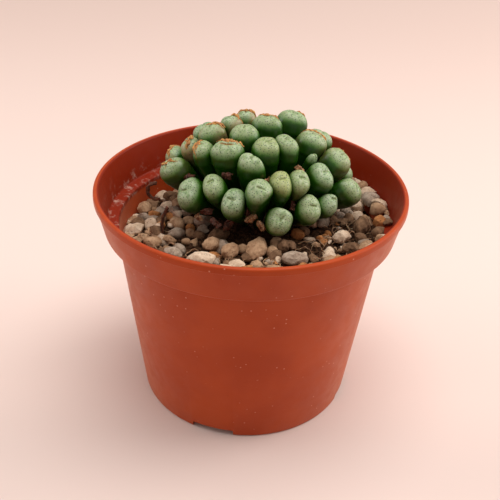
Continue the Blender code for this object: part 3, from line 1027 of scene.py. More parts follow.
    def build(self, finish: bpy.types.Material, seed: int) -> None:
        """Build the fine head from a sphere's grid.

        Args:
            finish: The skin's material.
            seed: Sets this head's own small irregularities.
        """
        table = self.radii()
        bpy.ops.mesh.primitive_uv_sphere_add(segments=self.sides, ring_count=self.rows, radius=1.0)
        piece = new_piece(self.node.replace("head", "succulent_head", 1))
        sphere = points_of(piece)
        polar = np.arccos(np.clip(sphere[:, 2], -1, 1)) / math.pi * self.rows
        row = np.rint(polar).astype(int)
        base_pole = row >= self.rows
        row = np.minimum(row, self.rows - 1)
        side = np.rint(np.arctan2(sphere[:, 1], sphere[:, 0]) / math.tau * self.sides).astype(int)
        side %= self.sides

        starts = np.array([self.row_place(r) for r in range(self.rows)])
        distance, tilt = starts[row].T
        angle = math.tau * side / self.sides
        radius = table[row, side]
        radius[row == 0] = table[0].mean()
        flat_a = np.cos(angle) * np.cos(tilt) * radius
        flat_b = np.sin(angle) * np.cos(tilt) * radius

        upper = np.clip(tilt / 0.5, 0, 1)
        radius, groove = self.carve(radius, flat_a, flat_b, upper, seed)

        root = np.array(self.root)
        axis = np.array(self.axis)
        out = np.outer(np.cos(angle), self.along) + np.outer(np.sin(angle), self.across)
        points = root + np.outer(distance + radius * np.sin(tilt), axis)
        points += out * (radius * np.cos(tilt))[:, None]
        points[base_pole] = root
        lumps = np.array([noise.noise(Vector(p) / self.lump_size + Vector((seed, 0, 0)))
                          for p in points])
        outward = points - root - np.outer(distance, axis)
        points += outward * (self.lump_rise * lumps)[:, None]
        points[:, 2] = np.minimum(points[:, 2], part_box(self.node)[1].z)
        set_points(piece, points)

        height = ((points - root) @ axis) / self.tall
        self.mark(piece, height, groove, flat_a)
        arc = np.hypot(flat_a, flat_b) + np.maximum(0, (1 - height)) * self.tall * 0.6
        spin = math.radians(47) * seed
        flat = np.stack([np.cos(angle + spin) * arc, np.sin(angle + spin) * arc], axis=1) / MM
        set_uv(piece, flat + np.array([7.3 * seed, 3.1 * seed]))
        shade(piece, 80)
        recalculate_normals(piece)
        place(piece, finish, "succulent_skin", self.node)

    def mark(self, piece: bpy.types.Object, height: np.ndarray, groove: np.ndarray,
             flat_a: np.ndarray) -> None:
        """Store what the skin's finish reads.

        Args:
            piece: The head's piece.
            height: Each vertex's place along the axis, 1 at the top.
            groove: How deep in the slit each vertex lies.
            flat_a: Each vertex's place along the face.
        """
        below = (1 - height) * self.tall
        set_attribute(piece, "bloom", 1 - smoothstep(self.pale_reach, self.green_reach, below))
        set_attribute(piece, "slit", groove)
        set_attribute(piece, "husk", groove * self.slit.dryness)
        set_attribute(piece, "sun", np.full(len(height), self.sun))
        upward = smoothstep(0.2, 1.0, np.abs(flat_a) / (np.abs(flat_a).max() + 1e-9))
        set_attribute(piece, "rust", self.rust * upward * smoothstep(0.6, 0.9, height))


@dataclass
class Clump:
    """All the heads, and the woody crown under them."""

    slits: dict[str, Slit] = field(default_factory=lambda: {
        "head_upper_left": Slit(SlitRun.ALONG, 0.0, 5.0 * MM, 0.5 * MM, 0.3 * MM, 0.9),
        "head_crest": Slit(SlitRun.ALONG, 0.0, 4.6 * MM, 0.5 * MM, 0.3 * MM, 0.3),
        "head_right_shoulder": Slit(SlitRun.ALONG, 0.0, 5.0 * MM, 0.5 * MM, 0.3 * MM, 0.6),
        "head_left": Slit(SlitRun.ACROSS, 0.0, 4.0 * MM, 0.5 * MM, 0.3 * MM, 0.8),
        "head_front_centre": Slit(SlitRun.ACROSS, 0.0, 3.2 * MM, 0.3 * MM, 0.3 * MM),
    })
    sunny: dict[str, float] = field(default_factory=lambda: {
        "head_middle": 0.9, "head_upper_centre": 0.5, "head_middle_right": 0.3,
        "head_upper_right": 0.2})
    rusty: dict[str, float] = field(default_factory=lambda: {
        "head_left_back": 0.6, "head_left": 0.1, "head_crest_withered": 0.8,
        "head_crest_back_left": 0.6, "head_right_upper": 0.2, "head_middle_right": 0.2,
        "head_upper_left_back": 0.4, "head_left_low_back": 0.5, "head_right_shoulder": 0.15})

    def build(self, nodes: dict[str, bpy.types.Object]) -> dict[str, SucculentHead]:
        """Build every head and the crown.

        Args:
            nodes: The CAD nodes.

        Returns:
            The measured heads by node name.
        """
        skin = Skin().build()
        crown = crown_centre()
        heads = {}
        for seed, node in enumerate(sorted(n for n in nodes if n.startswith("head_"))):
            head = SucculentHead(node, crown, self.slits.get(node, Slit()),
                                 self.sunny.get(node, 0.12 * (seed % 3)),
                                 self.rusty.get(node, 0.0))
            head.build(skin, seed)
            heads[node] = head
        self.build_crown(crown)
        return heads

    def build_crown(self, centre: Vector) -> None:
        """Build the woody crown as a knotted ball with its taproot.

        Args:
            centre: The crown's centre.
        """
        tree = tree_of("root_crown")
        bpy.ops.mesh.primitive_uv_sphere_add(segments=64, ring_count=48, radius=1.0)
        piece = new_piece("woody_crown")
        points = []
        for vertex in piece.data.vertices:
            heading = vertex.co.normalized()
            far = tree.ray_cast(centre, heading)[3]
            knot = noise.fractal(heading * 3.0, 0.6, LACUNARITY, 4)
            points.append(tuple(centre + heading * far * (0.95 - 0.05 * abs(knot))))
        set_points(piece, np.array(points))
        shade(piece, 80)
        wood = DryFinish("woody_bark", tone(84, 46, 30), tone(34, 14, 8)).build()
        place(piece, wood, "woody_crown", "root_crown")


# --- Gravel and potting mix ---------------------------------------------------------------

@dataclass
class PottingMix:
    """The peat that fills the pot: rough on top, heaped against the crown."""

    roughness: float = 1.8 * MM
    heap: float = 2.2 * MM
    heap_spread: float = 9.0 * MM
    segments: int = 220
    rings: int = 120
    top_share: float = 0.7
    side_share: float = 0.6
    side_taper: float = 0.14
    probes: tuple[tuple[float, float], ...] = ((-30, 0), (28, -8), (0, -30))

    def __post_init__(self) -> None:
        """Measure the mix's plane, wall and floor, and the crown, from their CAD nodes."""
        tree = tree_of("potting_mix")
        rows = []
        for x, y in self.probes:
            hit = tree.ray_cast(Vector((x * MM, y * MM, 0.1)), Vector((0, 0, -1)))[0]
            rows.append((1.0, hit.x, hit.y, hit.z))
        table = np.array(rows)
        self.plane = np.linalg.solve(table[:, :3], table[:, 3])
        low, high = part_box("potting_mix")
        self.floor = low.z
        self.radius = high.x
        crown_low, crown_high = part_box("root_crown")
        self.crown = (crown_low + crown_high) / 2
        self.crown_half = (crown_high - crown_low) / 2

    def height(self, x: float, y: float) -> float:
        """Return the height of the rough top at a place."""
        level = float(self.plane @ np.array([1.0, x, y]))
        out = math.hypot((x - self.crown.x) / self.crown_half.x,
                         (y - self.crown.y) / self.crown_half.y)
        beyond = max(0.0, out - 0.8) * self.crown_half.y
        level += self.heap * math.exp(-(beyond / self.heap_spread) ** 2)
        crumb = noise.fractal(Vector((x, y, 0.0)) / (2.2 * MM), 0.8, LACUNARITY, 5)
        return level + 0.5 * self.roughness * crumb

    def build(self) -> None:
        """Build the mix from a sphere's grid: its top, then its side and underside."""
        bpy.ops.mesh.primitive_uv_sphere_add(segments=self.segments, ring_count=self.rings,
                                             radius=1.0)
        piece = new_piece("peat_mix")
        points = points_of(piece)
        polar = np.arccos(np.clip(points[:, 2], -1, 1)) / math.pi
        for i, (share, spot) in enumerate(zip(polar, points.copy())):
            length = math.hypot(spot[0], spot[1]) or 1.0
            out_x, out_y = spot[0] / length, spot[1] / length
            radius = self.radius * min(1.0, share / self.top_share)
            if share < 1e-6 or share > 1 - 1e-6:
                radius = 0.0
            x, y = out_x * radius, out_y * radius
            z = self.height(x, y)
            under = (share - self.top_share) / (1 - self.top_share)
            if under > 0:
                sink = min(1.0, under / self.side_share)
                z += (self.floor - z) * sink
                inward = 1 - self.side_taper * sink
                inward *= 1 - max(0.0, (under - self.side_share) / (1 - self.side_share))
                x, y = x * inward, y * inward
            points[i] = (x, y, z)
        set_points(piece, points)
        shade(piece, 80)
        recalculate_normals(piece)
        place(piece, PeatFinish().build(), "potting_mix", "potting_mix")


@dataclass(frozen=True)
class LooseStone:
    """One loose stone: where it lies and its size, in millimetres, and its colour."""

    x: float
    y: float
    size: float
    colour: StoneTone


LOOSE_STONES = (
    LooseStone(-15, -8, 3.5, StoneTone.TAN), LooseStone(-27, -2, 5, StoneTone.TAN),
    LooseStone(-28, 8, 4, StoneTone.OCHRE), LooseStone(-21, 3, 4.5, StoneTone.TAN),
    LooseStone(-27, 20, 5, StoneTone.PALE), LooseStone(-22, 24, 4.5, StoneTone.TAN),
    LooseStone(-3, -22, 5, StoneTone.PALE), LooseStone(6, -19, 3.2, StoneTone.GREY),
    LooseStone(21, -14, 4, StoneTone.PALE), LooseStone(21, -18, 4.5, StoneTone.PALE),
    LooseStone(16, -23, 3.5, StoneTone.TAN), LooseStone(36, -2, 4, StoneTone.OCHRE),
    LooseStone(26, 3, 4.5, StoneTone.TAN), LooseStone(36, 15, 4.5, StoneTone.PALE),
    LooseStone(34, 21, 4.5, StoneTone.PALE), LooseStone(38, 5, 4, StoneTone.BROWN),
    LooseStone(-34, 5, 4, StoneTone.TAN), LooseStone(-29, -6, 4, StoneTone.TAN),
    LooseStone(-19, -12, 4.2, StoneTone.GREY), LooseStone(-25, 1, 3.6, StoneTone.OCHRE),
    LooseStone(-17, -20, 4, StoneTone.GREY), LooseStone(31, -9, 3.6, StoneTone.GREY),
    LooseStone(17, -18, 3.2, StoneTone.BROWN), LooseStone(33, 4, 4, StoneTone.TAN),
)

SLOT_OF_TONE = {StoneTone.TAN: "stone_tan", StoneTone.PALE: "stone_pale",
                StoneTone.GREY: "stone_grey", StoneTone.BROWN: "stone_brown",
                StoneTone.OCHRE: "stone_tan"}


@dataclass
class Gravel:
    """The named stones, the loose ones and the grit piled between them."""

    mix: PottingMix
    pot: NurseryPot
    scatter_count: int = 1500
    crumb_count: int = 1100
    stack_limit: float = 0.8 * MM
    seed: int = 5
    cell: float = 0.5 * MM
    seat: float = 0.3
    below_rim: float = 4.5 * MM
    bare_edge: float = 24.0 * MM
    facet_count: int = 16
    loose_facet_count: int = 9
    tone_odds: tuple[float, ...] = (0.34, 0.24, 0.16, 0.18, 0.08)
    peat_patches: tuple[tuple[float, float, float, float], ...] = (
        (15, -14, 8, 7), (-16, -12, 6, 6), (30, -2, 7, 5))

    def __post_init__(self) -> None:
        """Set up the height map of what is already lying there."""
        count = int(2 * self.pot.rim / self.cell) + 1
        self.tops = np.full((count, count), -1.0)
        self.random = np.random.default_rng(self.seed)
        self.copies: dict[StoneTone, list[bpy.types.Object]] = {kind: [] for kind in StoneTone}
        self.crumbs: list[bpy.types.Object] = []
        self.templates: dict[int, bpy.types.Object] = {}

    def build(self, nodes: dict[str, bpy.types.Object], slots: dict[str, str]) -> None:
        """Build every stone.

        Args:
            nodes: The CAD nodes.
            slots: The material slot of each node.
        """
        finishes = {kind: StoneFinish(kind).build() for kind in StoneTone}
        by_slot = {slot: kind for kind, slot in SLOT_OF_TONE.items() if kind != StoneTone.OCHRE}
        for index, node in enumerate(sorted(n for n in nodes if n.startswith("stone_"))):
            self.build_stone(node, finishes[by_slot[slots[node]]], slots[node], index)
            low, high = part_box(node)
            self.raise_tops((low + high) / 2, (high.x - low.x) / 2, high.z)
        plant = tree_of(*(n for n in nodes if n.startswith("head_")))
        for stone in LOOSE_STONES:
            self.drop(stone.x * MM, stone.y * MM, stone.size * MM, 3, plant,
                      self.copies[stone.colour])
        self.scatter(plant)
        for kind, copies in self.copies.items():
            self.join(copies, f"loose_gravel_{kind.name.lower()}", finishes[kind],
                      SLOT_OF_TONE[kind])
        self.join(self.crumbs, "peat_crumbs", PeatFinish().build("peat_crumb"), "potting_mix")
        for template in self.templates.values():
            bpy.data.objects.remove(template)

    def build_stone(self, node: str, finish: bpy.types.Material, slot: str, seed: int) -> None:
        """Build one named stone over its CAD node.

        Args:
            node: The CAD node.
            finish: The stone's material.
            slot: Its material slot.
            seed: Sets the stone's own facets.
        """
        tree = tree_of(node)
        low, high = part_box(node)
        middle = (low + high) / 2
        random = np.random.default_rng(self.seed + seed)
        facets = directions(random, self.facet_count)
        depths = random.uniform(0.78, 1.0, self.facet_count)
        bpy.ops.mesh.primitive_ico_sphere_add(subdivisions=5, radius=1.0)
        piece = new_piece(node.replace("stone", "gravel_stone", 1))
        points = []
        for vertex in piece.data.vertices:
            heading = vertex.co.normalized()
            far = tree.ray_cast(middle, heading)[3]
            cosines = facets @ np.array(heading)
            cut = min([d / c for d, c in zip(depths, cosines) if c > 0.05] + [1.0])
            rough = noise.fractal(heading * 4 + Vector((seed, 0, 0)), 0.7, LACUNARITY, 5)
            points.append(tuple(middle + heading * far * cut * (1.04 - 0.05 * abs(rough))))
        set_points(piece, np.array(points))
        shade(piece, 60)
        place(piece, finish, slot, node)

    def patch(self, spot: Vector, radius: float) -> tuple[slice, slice]:
        """Return the part of the height map under a circle."""
        column = int((spot.x + self.pot.rim) / self.cell)
        row = int((spot.y + self.pot.rim) / self.cell)
        reach = max(1, int(radius / self.cell))
        return (slice(max(0, row - reach), row + reach + 1),
                slice(max(0, column - reach), column + reach + 1))

    def raise_tops(self, spot: Vector, radius: float, top: float) -> None:
        """Note that something reaches up to a height there.

        Args:
            spot: Its middle.
            radius: Its half-width.
            top: Its highest point.
        """
        part = self.patch(spot, 0.8 * radius)
        self.tops[part] = np.maximum(self.tops[part], top)

    def bare(self, x: float, y: float) -> float:
        """Return the height of the peat or the ledge at a place."""
        out = math.hypot(x, y)
        return self.pot.ledge if out > self.mix.radius else self.mix.height(x, y)

    def ground(self, x: float, y: float, radius: float) -> float:
        """Return the height that a stone of a radius would rest at."""
        bare = self.bare(x, y)
        part = self.patch(Vector((x, y, 0)), 0.7 * radius)
        return max(bare, float(np.mean(np.maximum(self.tops[part], bare))))

    def blank(self, fineness: int) -> bpy.types.Object:
        """Return a copy of the ball that stones of a fineness are made from.

        Args:
            fineness: How finely the ball is divided.

        Returns:
            The copy, with its own mesh.
        """
        if fineness not in self.templates:
            bpy.ops.mesh.primitive_ico_sphere_add(subdivisions=fineness, radius=1.0)
            self.templates[fineness] = new_piece(f"ball_{fineness}")
        template = self.templates[fineness]
        copy = template.copy()
        copy.data = template.data.copy()
        bpy.context.scene.collection.objects.link(copy)
        return copy

    def drop(self, x: float, y: float, size: float, fineness: int, plant: BVHTree,
             heap: list[bpy.types.Object], loose: bool = False) -> None:
        """Let one stone come to rest, unless it would lie in the plant or the wall.

        Args:
            x: Its place along X.
            y: Its place along Y.
            size: Its width.
            fineness: How finely its shape is divided.
            plant: The heads' search tree.
            heap: The list that it joins.
            loose: Whether it is left out where it would lie on another stone.
        """
        half = size / 2
        base = self.ground(x, y, half)
        if loose and base - self.bare(x, y) > self.stack_limit:
            return
        spot = Vector((x, y, base + self.seat * half))
        inner = self.pot.collar_inner - self.pot.collar_taper
        room = inner if spot.z > self.pot.ledge else self.mix.radius
        out = math.hypot(x, y)
        if out + half * 0.9 > room:
            spot.x *= (room - 0.9 * half) / out
            spot.y *= (room - 0.9 * half) / out
        near, normal, _, gap = plant.find_nearest(spot)
        inside = (spot - near).dot(normal) < 0
        if inside or gap < 0.7 * half or spot.z > self.pot.height - self.below_rim:
            return
        stone = self.blank(fineness)
        facets = directions(self.random, self.loose_facet_count)
        depths = self.random.uniform(0.6, 0.95, self.loose_facet_count)
        sizes = half * self.random.uniform((0.9, 0.75, 0.65), (1.3, 1.05, 0.95))
        turn = Matrix.Rotation(self.random.uniform(0, math.tau), 3, "Z")
        tip = Matrix.Rotation(self.random.uniform(-0.5, 0.5), 3, "X")
        headings = points_of(stone)
        cosines = np.maximum(headings @ facets.T, 0.05)
        cut = np.minimum((depths / cosines).min(axis=1), 1.0)
        bumps = 1 + self.random.uniform(-0.06, 0.06, len(headings))
        shaped = headings * (cut * bumps)[:, None] * sizes
        set_points(stone, shaped @ np.array(turn @ tip).T + np.array(spot))
        heap.append(stone)
        self.raise_tops(spot, half, spot.z + 0.6 * sizes[2])

    def peaty(self, x: float, y: float) -> bool:
        """Tell whether a place lies in one of the bare peat patches."""
        return any(((x - middle_x * MM) / (half_x * MM)) ** 2
                   + ((y - middle_y * MM) / (half_y * MM)) ** 2 < 1
                   for middle_x, middle_y, half_x, half_y in self.peat_patches)

    def spot_within(self, reach: float) -> tuple[float, float, float]:
        """Return a random place in a circle, as X, Y and the distance from the axis."""
        angle = self.random.uniform(0, math.tau)
        out = reach * math.sqrt(self.random.uniform(0.1, 1.0))
        return out * math.cos(angle), out * math.sin(angle), out

    def scatter(self, plant: BVHTree) -> None:
        """Scatter grit and peat crumbs between the bigger stones.

        Args:
            plant: The heads' search tree.
        """
        kinds = list(StoneTone)
        reach = self.pot.collar_inner - self.pot.collar_taper
        sizes = (1.4 + 3.8 * self.random.uniform(size=self.scatter_count) ** 2.2) * MM
        for size in sorted(sizes, reverse=True):
            x, y, out = self.spot_within(reach)
            kind = kinds[int(self.random.choice(len(kinds), p=self.tone_odds))]
            bare_ledge = x < self.bare_edge and out > self.mix.radius
            if bare_ledge or (self.peaty(x, y) and self.random.uniform() < 0.9):
                continue
            self.drop(x, y, float(size), 2, plant, self.copies[kind], True)
        for _ in range(self.crumb_count):
            x, y, _ = self.spot_within(self.mix.radius)
            size = self.random.uniform(0.7, 1.7) * MM
            if self.peaty(x, y) or self.random.uniform() < 0.25:
                self.drop(x, y, size, 1, plant, self.crumbs, True)

    def join(self, copies: list[bpy.types.Object], name: str, finish: bpy.types.Material,
             slot: str) -> None:
        """Join loose stones into one piece.

        Args:
            copies: The stones.
            name: The piece's name.
            finish: Its material.
            slot: Its material slot.
        """
        deselect_all()
        for stone in copies:
            stone.select_set(True)
        bpy.context.view_layer.objects.active = copies[0]
        bpy.ops.object.join()
        piece = new_piece(name)
        shade(piece, 42)
        place(piece, finish, slot)


# --- Dry remains --------------------------------------------------------------------------

@dataclass(frozen=True)
class Husk:
    """One papery scrap of an old leaf between the heads, in millimetres and degrees."""

    bearing: float
    climb: float
    reach: float
    length: float
    width: float
    turn: float
    red: bool = False


@dataclass(frozen=True)
class DryStrip:
    """A dried flower's strip that lies over a head's face, in millimetres."""

    node: str
    length: float
    shift: float
    thickness: float = 0.45


@dataclass
class DryRemains:
    """Papery scraps, dried strips, peat fibres, the withered flower and its stalk."""

    mound_length: float = 58.0 * MM
    mound_breadth: float = 52.0 * MM
    mound_rise: float = 30.5 * MM
    mound_fullness: float = 0.85
    fibre_count: int = 130
    strand_steps: int = 26
    strands: tuple[tuple[int, float, float], ...] = ((0, 0.9, 1.0), (1, 0.6, 0.8), (2, 0.5, 0.6))
    seed: int = 21
    husks: tuple[Husk, ...] = (
        Husk(-124, 22, 0.90, 3.6, 2.0, 20, True), Husk(-116, 17, 0.92, 3.4, 1.8, 160, True),
        Husk(-108, 18, 0.88, 3.6, 2.0, 60, True), Husk(-130, 18, 0.90, 3.2, 1.8, 130),
        Husk(-94, 23, 0.92, 3.4, 1.8, 30), Husk(-88, 19, 0.94, 3.0, 1.6, 120),
        Husk(-96, 27, 0.88, 2.6, 1.8, 80, True), Husk(-52, 52, 0.90, 2.6, 1.6, 100),
        Husk(-84, 46, 0.92, 2.2, 1.4, 40), Husk(-118, 48, 0.88, 3.0, 1.8, 10, True),
        Husk(-66, 30, 0.88, 2.6, 1.6, 70, True), Husk(-35, 33, 0.86, 2.6, 1.6, 10, True),
        Husk(-150, 36, 0.90, 3.0, 1.8, 60, True), Husk(15, 58, 0.92, 3.0, 1.8, 30),
        Husk(60, 60, 0.92, 3.0, 1.8, 150, True), Husk(110, 44, 0.90, 3.4, 2.0, 20),
        Husk(150, 40, 0.92, 3.6, 2.0, 70, True), Husk(30, 30, 0.92, 3.4, 2.0, 110, True),
    )
    strips: tuple[DryStrip, ...] = (
        DryStrip("head_upper_left", 9.5, 2.4, 0.6), DryStrip("head_upper_left", 7.0, 1.3, 0.4),
        DryStrip("head_left_shoulder", 6.5, 1.4, 0.5), DryStrip("head_left_shoulder", 5.0, 0.4),
        DryStrip("head_crest", 8.0, 1.8, 0.55), DryStrip("head_crest", 6.0, 0.8, 0.4),
        DryStrip("head_crest_withered", 6.5, 0.4, 0.7),
        DryStrip("head_crest_withered", 5.5, 1.4, 0.6),
        DryStrip("head_crest_back_right", 7.5, 2.0, 0.5),
        DryStrip("head_crest_back_left", 6.0, 1.6, 0.6),
        DryStrip("head_right_shoulder", 8.0, 1.2, 0.55),
        DryStrip("head_upper_left_back", 8.5, 1.8, 0.6),
        DryStrip("head_upper_left_back", 7.0, 0.6, 0.5),
        DryStrip("head_left", 7.5, 0.4, 0.5), DryStrip("head_left_back", 6.5, 0.8, 0.6),
        DryStrip("head_left_low_back", 6.0, 0.6, 0.5), DryStrip("head_right_upper", 6.0, 1.8, 0.3),
    )

    def build(self, heads: dict[str, SucculentHead], mix: PottingMix) -> None:
        """Build all of the dry pieces.

        Args:
            heads: The measured heads by node name.
            mix: The potting mix, which the fibres lie on.
        """
        self.top = max(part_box(node)[1].z for node in heads)
        paper = DryFinish("dry_paper", tone(184, 138, 98), tone(108, 66, 40)).build()
        red = DryFinish("red_paper", tone(104, 54, 32), tone(48, 20, 10)).build()
        orange = DryFinish("dry_strip", tone(212, 154, 84), tone(132, 76, 32)).build()
        brown = DryFinish("dry_flower", tone(112, 60, 34), tone(46, 22, 12)).build()
        straw = DryFinish("root_fibre", tone(182, 144, 106), tone(104, 70, 46)).build()
        for k, husk in enumerate(self.husks):
            self.build_husk(husk, k, red if husk.red else paper)
        for k, strip in enumerate(self.strips):
            self.build_strip(strip, heads[strip.node], k, orange)
        self.build_fibres(mix, straw)
        self.build_strand("withered_flower", brown, 0.9)
        self.build_strand("dry_flower_stalk", brown, 0.7)

    def mound_spot(self, husk: Husk, centre: Vector) -> Vector:
        """Return a scrap's place on the mound.

        Args:
            husk: The scrap.
            centre: The middle of the mound.

        Returns:
            The place.
        """
        climb = math.radians(husk.climb)
        bearing = math.radians(husk.bearing)
        out = math.cos(climb) ** self.mound_fullness
        up = math.sin(climb) ** self.mound_fullness
        away = Vector((self.mound_length / 2 * out * math.cos(bearing),
                       self.mound_breadth / 2 * out * math.sin(bearing), self.mound_rise * up))
        return centre + away * husk.reach

    def build_husk(self, husk: Husk, index: int, finish: bpy.types.Material) -> None:
        """Build one crumpled scrap.

        Args:
            husk: Its place and size.
            index: Sets its own creases.
            finish: Its material.
        """
        centre = crown_centre()
        spot = self.mound_spot(husk, centre)
        outward = (spot - centre).normalized()
        frame = outward.to_track_quat("Z", "Y").to_matrix()
        frame = frame @ Matrix.Rotation(math.radians(husk.turn), 3, "Z")
        bpy.ops.mesh.primitive_grid_add(x_subdivisions=22, y_subdivisions=16, size=1.0)
        piece = new_piece(f"papery_husk_{index + 1}")
        points = points_of(piece)
        along = points[:, 0] * husk.length * MM
        across = points[:, 1] * husk.width * MM * (1 - 1.3 * np.abs(points[:, 0]) ** 2.2)
        lift = 0.9 * MM * np.cos(points[:, 1] * 3.4) - 0.5 * MM * (points[:, 0] * 2) ** 2
        ragged = [noise.fractal(Vector((u * 3, v * 3, index * 7.1)), 0.8, LACUNARITY, 4)
                  for u, v in points[:, :2]]
        lift += 0.9 * MM * np.array(ragged)
        local = np.stack([along, across, lift], axis=1)
        set_points(piece, local @ np.array(frame).T + np.array(spot))
        crumple(piece, 0.9 * MM, 0.4 * MM, index)
        select_only(piece)
        wall = piece.modifiers.new("thickness", "SOLIDIFY")
        wall.thickness = 0.12 * MM
        bpy.ops.object.modifier_apply(modifier="thickness")
        shade(piece, 60)
        place(piece, finish, "dry_flower")

    def tube(self, name: str, runs: list[list[Vector]], widths: list[list[float]],
             sides: int) -> bpy.types.Object:
        """Return round strands as one mesh.

        Args:
            name: The piece's name.
            runs: The points of each strand.
            widths: The radius at each of those points.
            sides: The curve's bevel resolution.

        Returns:
            The mesh object.
        """
        curve = bpy.data.curves.new(name, "CURVE")
        curve.dimensions = "3D"
        curve.bevel_depth = 1.0
        curve.bevel_resolution = sides
        curve.use_fill_caps = True
        for run, width in zip(runs, widths):
            spline = curve.splines.new("POLY")
            spline.points.add(len(run) - 1)
            for slot, point, radius in zip(spline.points, run, width):
                slot.co = (*point, 1.0)
                slot.radius = radius
        strand = bpy.data.objects.new(name, curve)
        bpy.context.scene.collection.objects.link(strand)
        select_only(strand)
        bpy.ops.object.convert(target="MESH")
        return new_piece(name)

    def build_strip(self, strip: DryStrip, head: SucculentHead, index: int,
                    finish: bpy.types.Material) -> None:
        """Build a crumpled strip over a head's face.

        Args:
            strip: The strip's head and size.
            head: The measured head.
            index: Sets its own creases.
            finish: Its material.
        """
        runs = []
        widths = []
        for side, thickness, share in self.strands:
            run, width = self.strand_over(head, strip, index + side / 3, share)
            runs.append(run)
            widths.append([thickness * w for w in width])
        piece = self.tube(f"dry_strip_{index + 1}", runs, widths, 3)
        crumple(piece, 0.7 * MM, 0.2 * MM, index)
        points = points_of(piece)
        points[:, 2] = np.minimum(points[:, 2], self.top)
        set_points(piece, points)
        shade(piece, 50)
        place(piece, finish, "dry_flower")

    def strand_over(self, head: SucculentHead, strip: DryStrip, seed: float,
                    share_kept: float) -> tuple[list[Vector], list[float]]:
        """Return one of a strip's strands, lying on the head.

        Args:
            head: The measured head.
            strip: The strip.
            seed: Sets how the strand wanders.
            share_kept: How much of the strip's length it runs over.

        Returns:
            The strand's points and the radius at each.
        """
        centre = head.root + head.axis * head.cap_base
        upward = 1 if head.across.y + head.across.z > 0 else -1
        run = []
        width = []
        for k in range(self.strand_steps + 1):
            share = 2 * k / self.strand_steps - 1
            along = share * share_kept * strip.length * MM / 2
            wander = noise.noise(Vector((share * 1.8, seed * 3.7, 0))) * 1.1 * MM
            across = strip.shift * MM * upward + wander
            start = centre + head.along * along + head.across * across + head.axis * 20 * MM
            hit = head.tree.ray_cast(start, -head.axis)[0]
            if hit is None:
                continue
            crease = noise.noise(Vector((share * 5, seed * 3.7, 5.0)))
            run.append(hit + head.axis * (0.12 + 0.22 * crease) * MM)
            taper = (1 - abs(share) ** 3) * (0.75 + 0.5 * crease)
            width.append(max(0.08, strip.thickness * taper) * MM)
        return run, width

    def build_fibres(self, mix: PottingMix, finish: bpy.types.Material) -> None:
        """Build fine curled fibres lying on the peat.

        Args:
            mix: The potting mix.
            finish: The fibres' material.
        """
        random = np.random.default_rng(self.seed)
        runs = []
        widths = []
        for _ in range(self.fibre_count):
            angle = random.uniform(-math.pi, math.tau / 12)
            out = random.uniform(20, 34) * MM
            x, y = out * math.cos(angle), out * math.sin(angle)
            heading = random.uniform(0, math.tau)
            curl = random.uniform(-0.5, 0.5)
            step = random.uniform(0.4, 0.8) * MM
            run = []
            for k in range(9):
                lift = 0.5 * MM + 1.2 * MM * math.sin(math.pi * k / 8)
                run.append(Vector((x, y, mix.height(x, y) + lift)))
                heading += curl + random.uniform(-0.3, 0.3)
                x += step * math.cos(heading)
                y += step * math.sin(heading)
                inward = min(1.0, (mix.radius - MM) / math.hypot(x, y))
                x *= inward
                y *= inward
            runs.append(run)
            widths.append([random.uniform(0.08, 0.17) * MM] * len(run))
        piece = self.tube("peat_fibres", runs, widths, 1)
        shade(piece, 60)
        place(piece, finish, "potting_mix")

    def build_strand(self, node: str, finish: bpy.types.Material, fray: float) -> None:
        """Build a shrivelled strand over its CAD node.

        Args:
            node: The CAD node.
            finish: Its material.
            fray: How far its surface is crumpled, as a share of its thickness.
        """
        source = bpy.data.objects[node]
        select_only(source)
        bpy.ops.object.duplicate()
        piece = new_piece(f"shrivelled_{node}")
        bpy.ops.object.mode_set(mode="EDIT")
        bpy.ops.mesh.select_all(action="SELECT")
        bpy.ops.mesh.remove_doubles(threshold=0.001 * MM)
        bpy.ops.mesh.tris_convert_to_quads()
        bpy.ops.mesh.subdivide(number_cuts=3)
        bpy.ops.object.mode_set(mode="OBJECT")
        crumple(piece, 0.8 * MM, 0.3 * fray * MM, len(node))
        shade(piece, 60)
        place(piece, finish, "dry_flower", node)


def crumple(piece: bpy.types.Object, size: float, depth: float, seed: int) -> None:
    """Push a mesh in and out by noise.

    Args:
        piece: The mesh object.
        size: The creases' size.
        depth: How deep they are.
        seed: Moves the noise.
    """
    points = points_of(piece)
    shift = Vector((seed * 3.1, seed * 1.7, 0))
    moved = [Vector(p) + noise.noise_vector(Vector(p) / size + shift) * depth for p in points]
    set_points(piece, np.array([tuple(point) for point in moved]))


# --- Studio -------------------------------------------------------------------------------

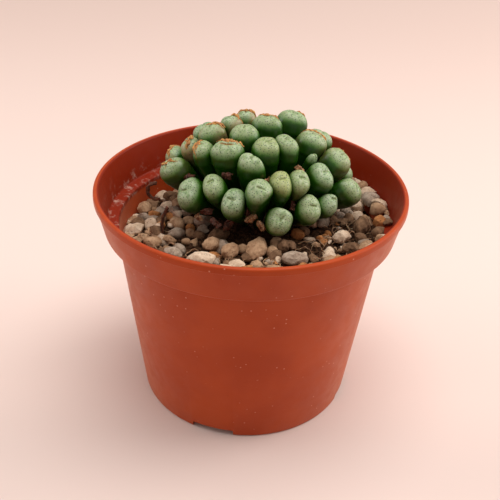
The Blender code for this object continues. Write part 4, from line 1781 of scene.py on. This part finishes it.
@dataclass
class Studio:
    """Plain pale floor, soft light from above and the camera."""

    lens: float = 58.0
    distance: float = 230.0 * MM
    elevation: float = math.radians(32)
    roll: float = math.radians(2.2)
    aim: Vector = field(default_factory=lambda: Vector((0.3, 0, 42.8)) * MM)

    def build(self) -> None:
        """Build the floor, lights, world and camera."""
        self.add_floor()
        self.add_lights()
        self.add_camera()
        bpy.context.scene.view_settings.view_transform = "Standard"

    def add_floor(self) -> None:
        """Add the flat floor with painted shade: a little darker in front of the pot and far
        behind it.
        """
        bpy.ops.mesh.primitive_plane_add(size=6.0)
        floor = new_piece("studio_floor")
        sketch = Sketch("studio_paper")
        depth = sketch.axes()[1]
        # Painted shade: the floor darkens far behind the pot.
        far = sketch.ease(depth, 0.02, 0.4)
        colour = sketch.mix(far, tone(230, 207, 197), tone(217, 191, 180))
        # Painted shadow: the floor darkens just in front of the pot.
        near = sketch.ease(depth, -0.045, -0.01, 1, 0)
        colour = sketch.mix(near, colour, tone(220, 199, 190))
        floor.data.materials.append(sketch.finish(colour, 0.9))

    def add_area(self, name: str, spot: tuple[float, float, float], size: float, power: float,
                 colour: tuple[float, float, float]) -> None:
        """Add a soft light aimed at the plant.

        Args:
            name: The light's name.
            spot: Where it hangs.
            size: Its width.
            power: Its power in watts.
            colour: Its colour.
        """
        data = bpy.data.lights.new(name, "AREA")
        data.shape = "DISK"
        data.size = size
        data.energy = power
        data.color = colour
        light = bpy.data.objects.new(name, data)
        bpy.context.scene.collection.objects.link(light)
        light.location = spot
        heading = self.aim - Vector(spot)
        light.rotation_euler = heading.to_track_quat("-Z", "Y").to_euler()

    def add_lights(self) -> None:
        """Add the overhead light, one from each side and the soft surroundings."""
        self.add_area("overhead", (0.1, 0.0, 1.05), 0.9, 8.4, (1.0, 0.985, 0.97))
        self.add_area("left", (-0.8, 0.1, 0.4), 0.7, 2.4, (1.0, 0.98, 0.96))
        self.add_area("back_right", (0.8, 0.2, 0.45), 0.7, 5.0, (1.0, 0.98, 0.96))
        world = bpy.data.worlds.new("surroundings")
        bpy.context.scene.world = world
        world.use_nodes = True
        background = world.node_tree.nodes["Background"]
        background.inputs["Color"].default_value = tone(250, 244, 240)
        background.inputs["Strength"].default_value = 0.42

    def add_camera(self) -> None:
        """Add the camera."""
        data = bpy.data.cameras.new("camera")
        data.lens = self.lens
        data.sensor_width = 36.0
        data.clip_start = 0.01
        camera = bpy.data.objects.new("camera", data)
        bpy.context.scene.collection.objects.link(camera)
        forward = Vector((0, math.cos(self.elevation), -math.sin(self.elevation)))
        right = Vector((1, 0, 0))
        up = right.cross(forward)
        rolled = right * math.cos(self.roll) + up * math.sin(self.roll)
        rolled_up = up * math.cos(self.roll) - right * math.sin(self.roll)
        spot = self.aim - forward * self.distance
        turn = Matrix((rolled, rolled_up, -forward)).transposed()
        camera.matrix_world = Matrix.Translation(spot) @ turn.to_4x4()
        bpy.context.scene.camera = camera


def main() -> None:
    """Build the whole model and its studio."""
    logging.basicConfig(level=logging.INFO, format="%(name)s %(message)s")
    noise.seed_set(CREASE_SEED)
    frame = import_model()
    deselect_all()
    nodes = frame["nodes"]
    slots = {entry["node"]: entry["material_slot"] for entry in frame["record"]["subparts"]}
    pot = NurseryPot()
    mix = PottingMix()
    pot.build()
    heads = Clump().build(nodes)
    Gravel(mix, pot).build(nodes, slots)
    mix.build()
    DryRemains().build(heads, mix)
    Studio().build()
    bpy.context.view_layer.update()


if __name__ == "__main__":
    main()
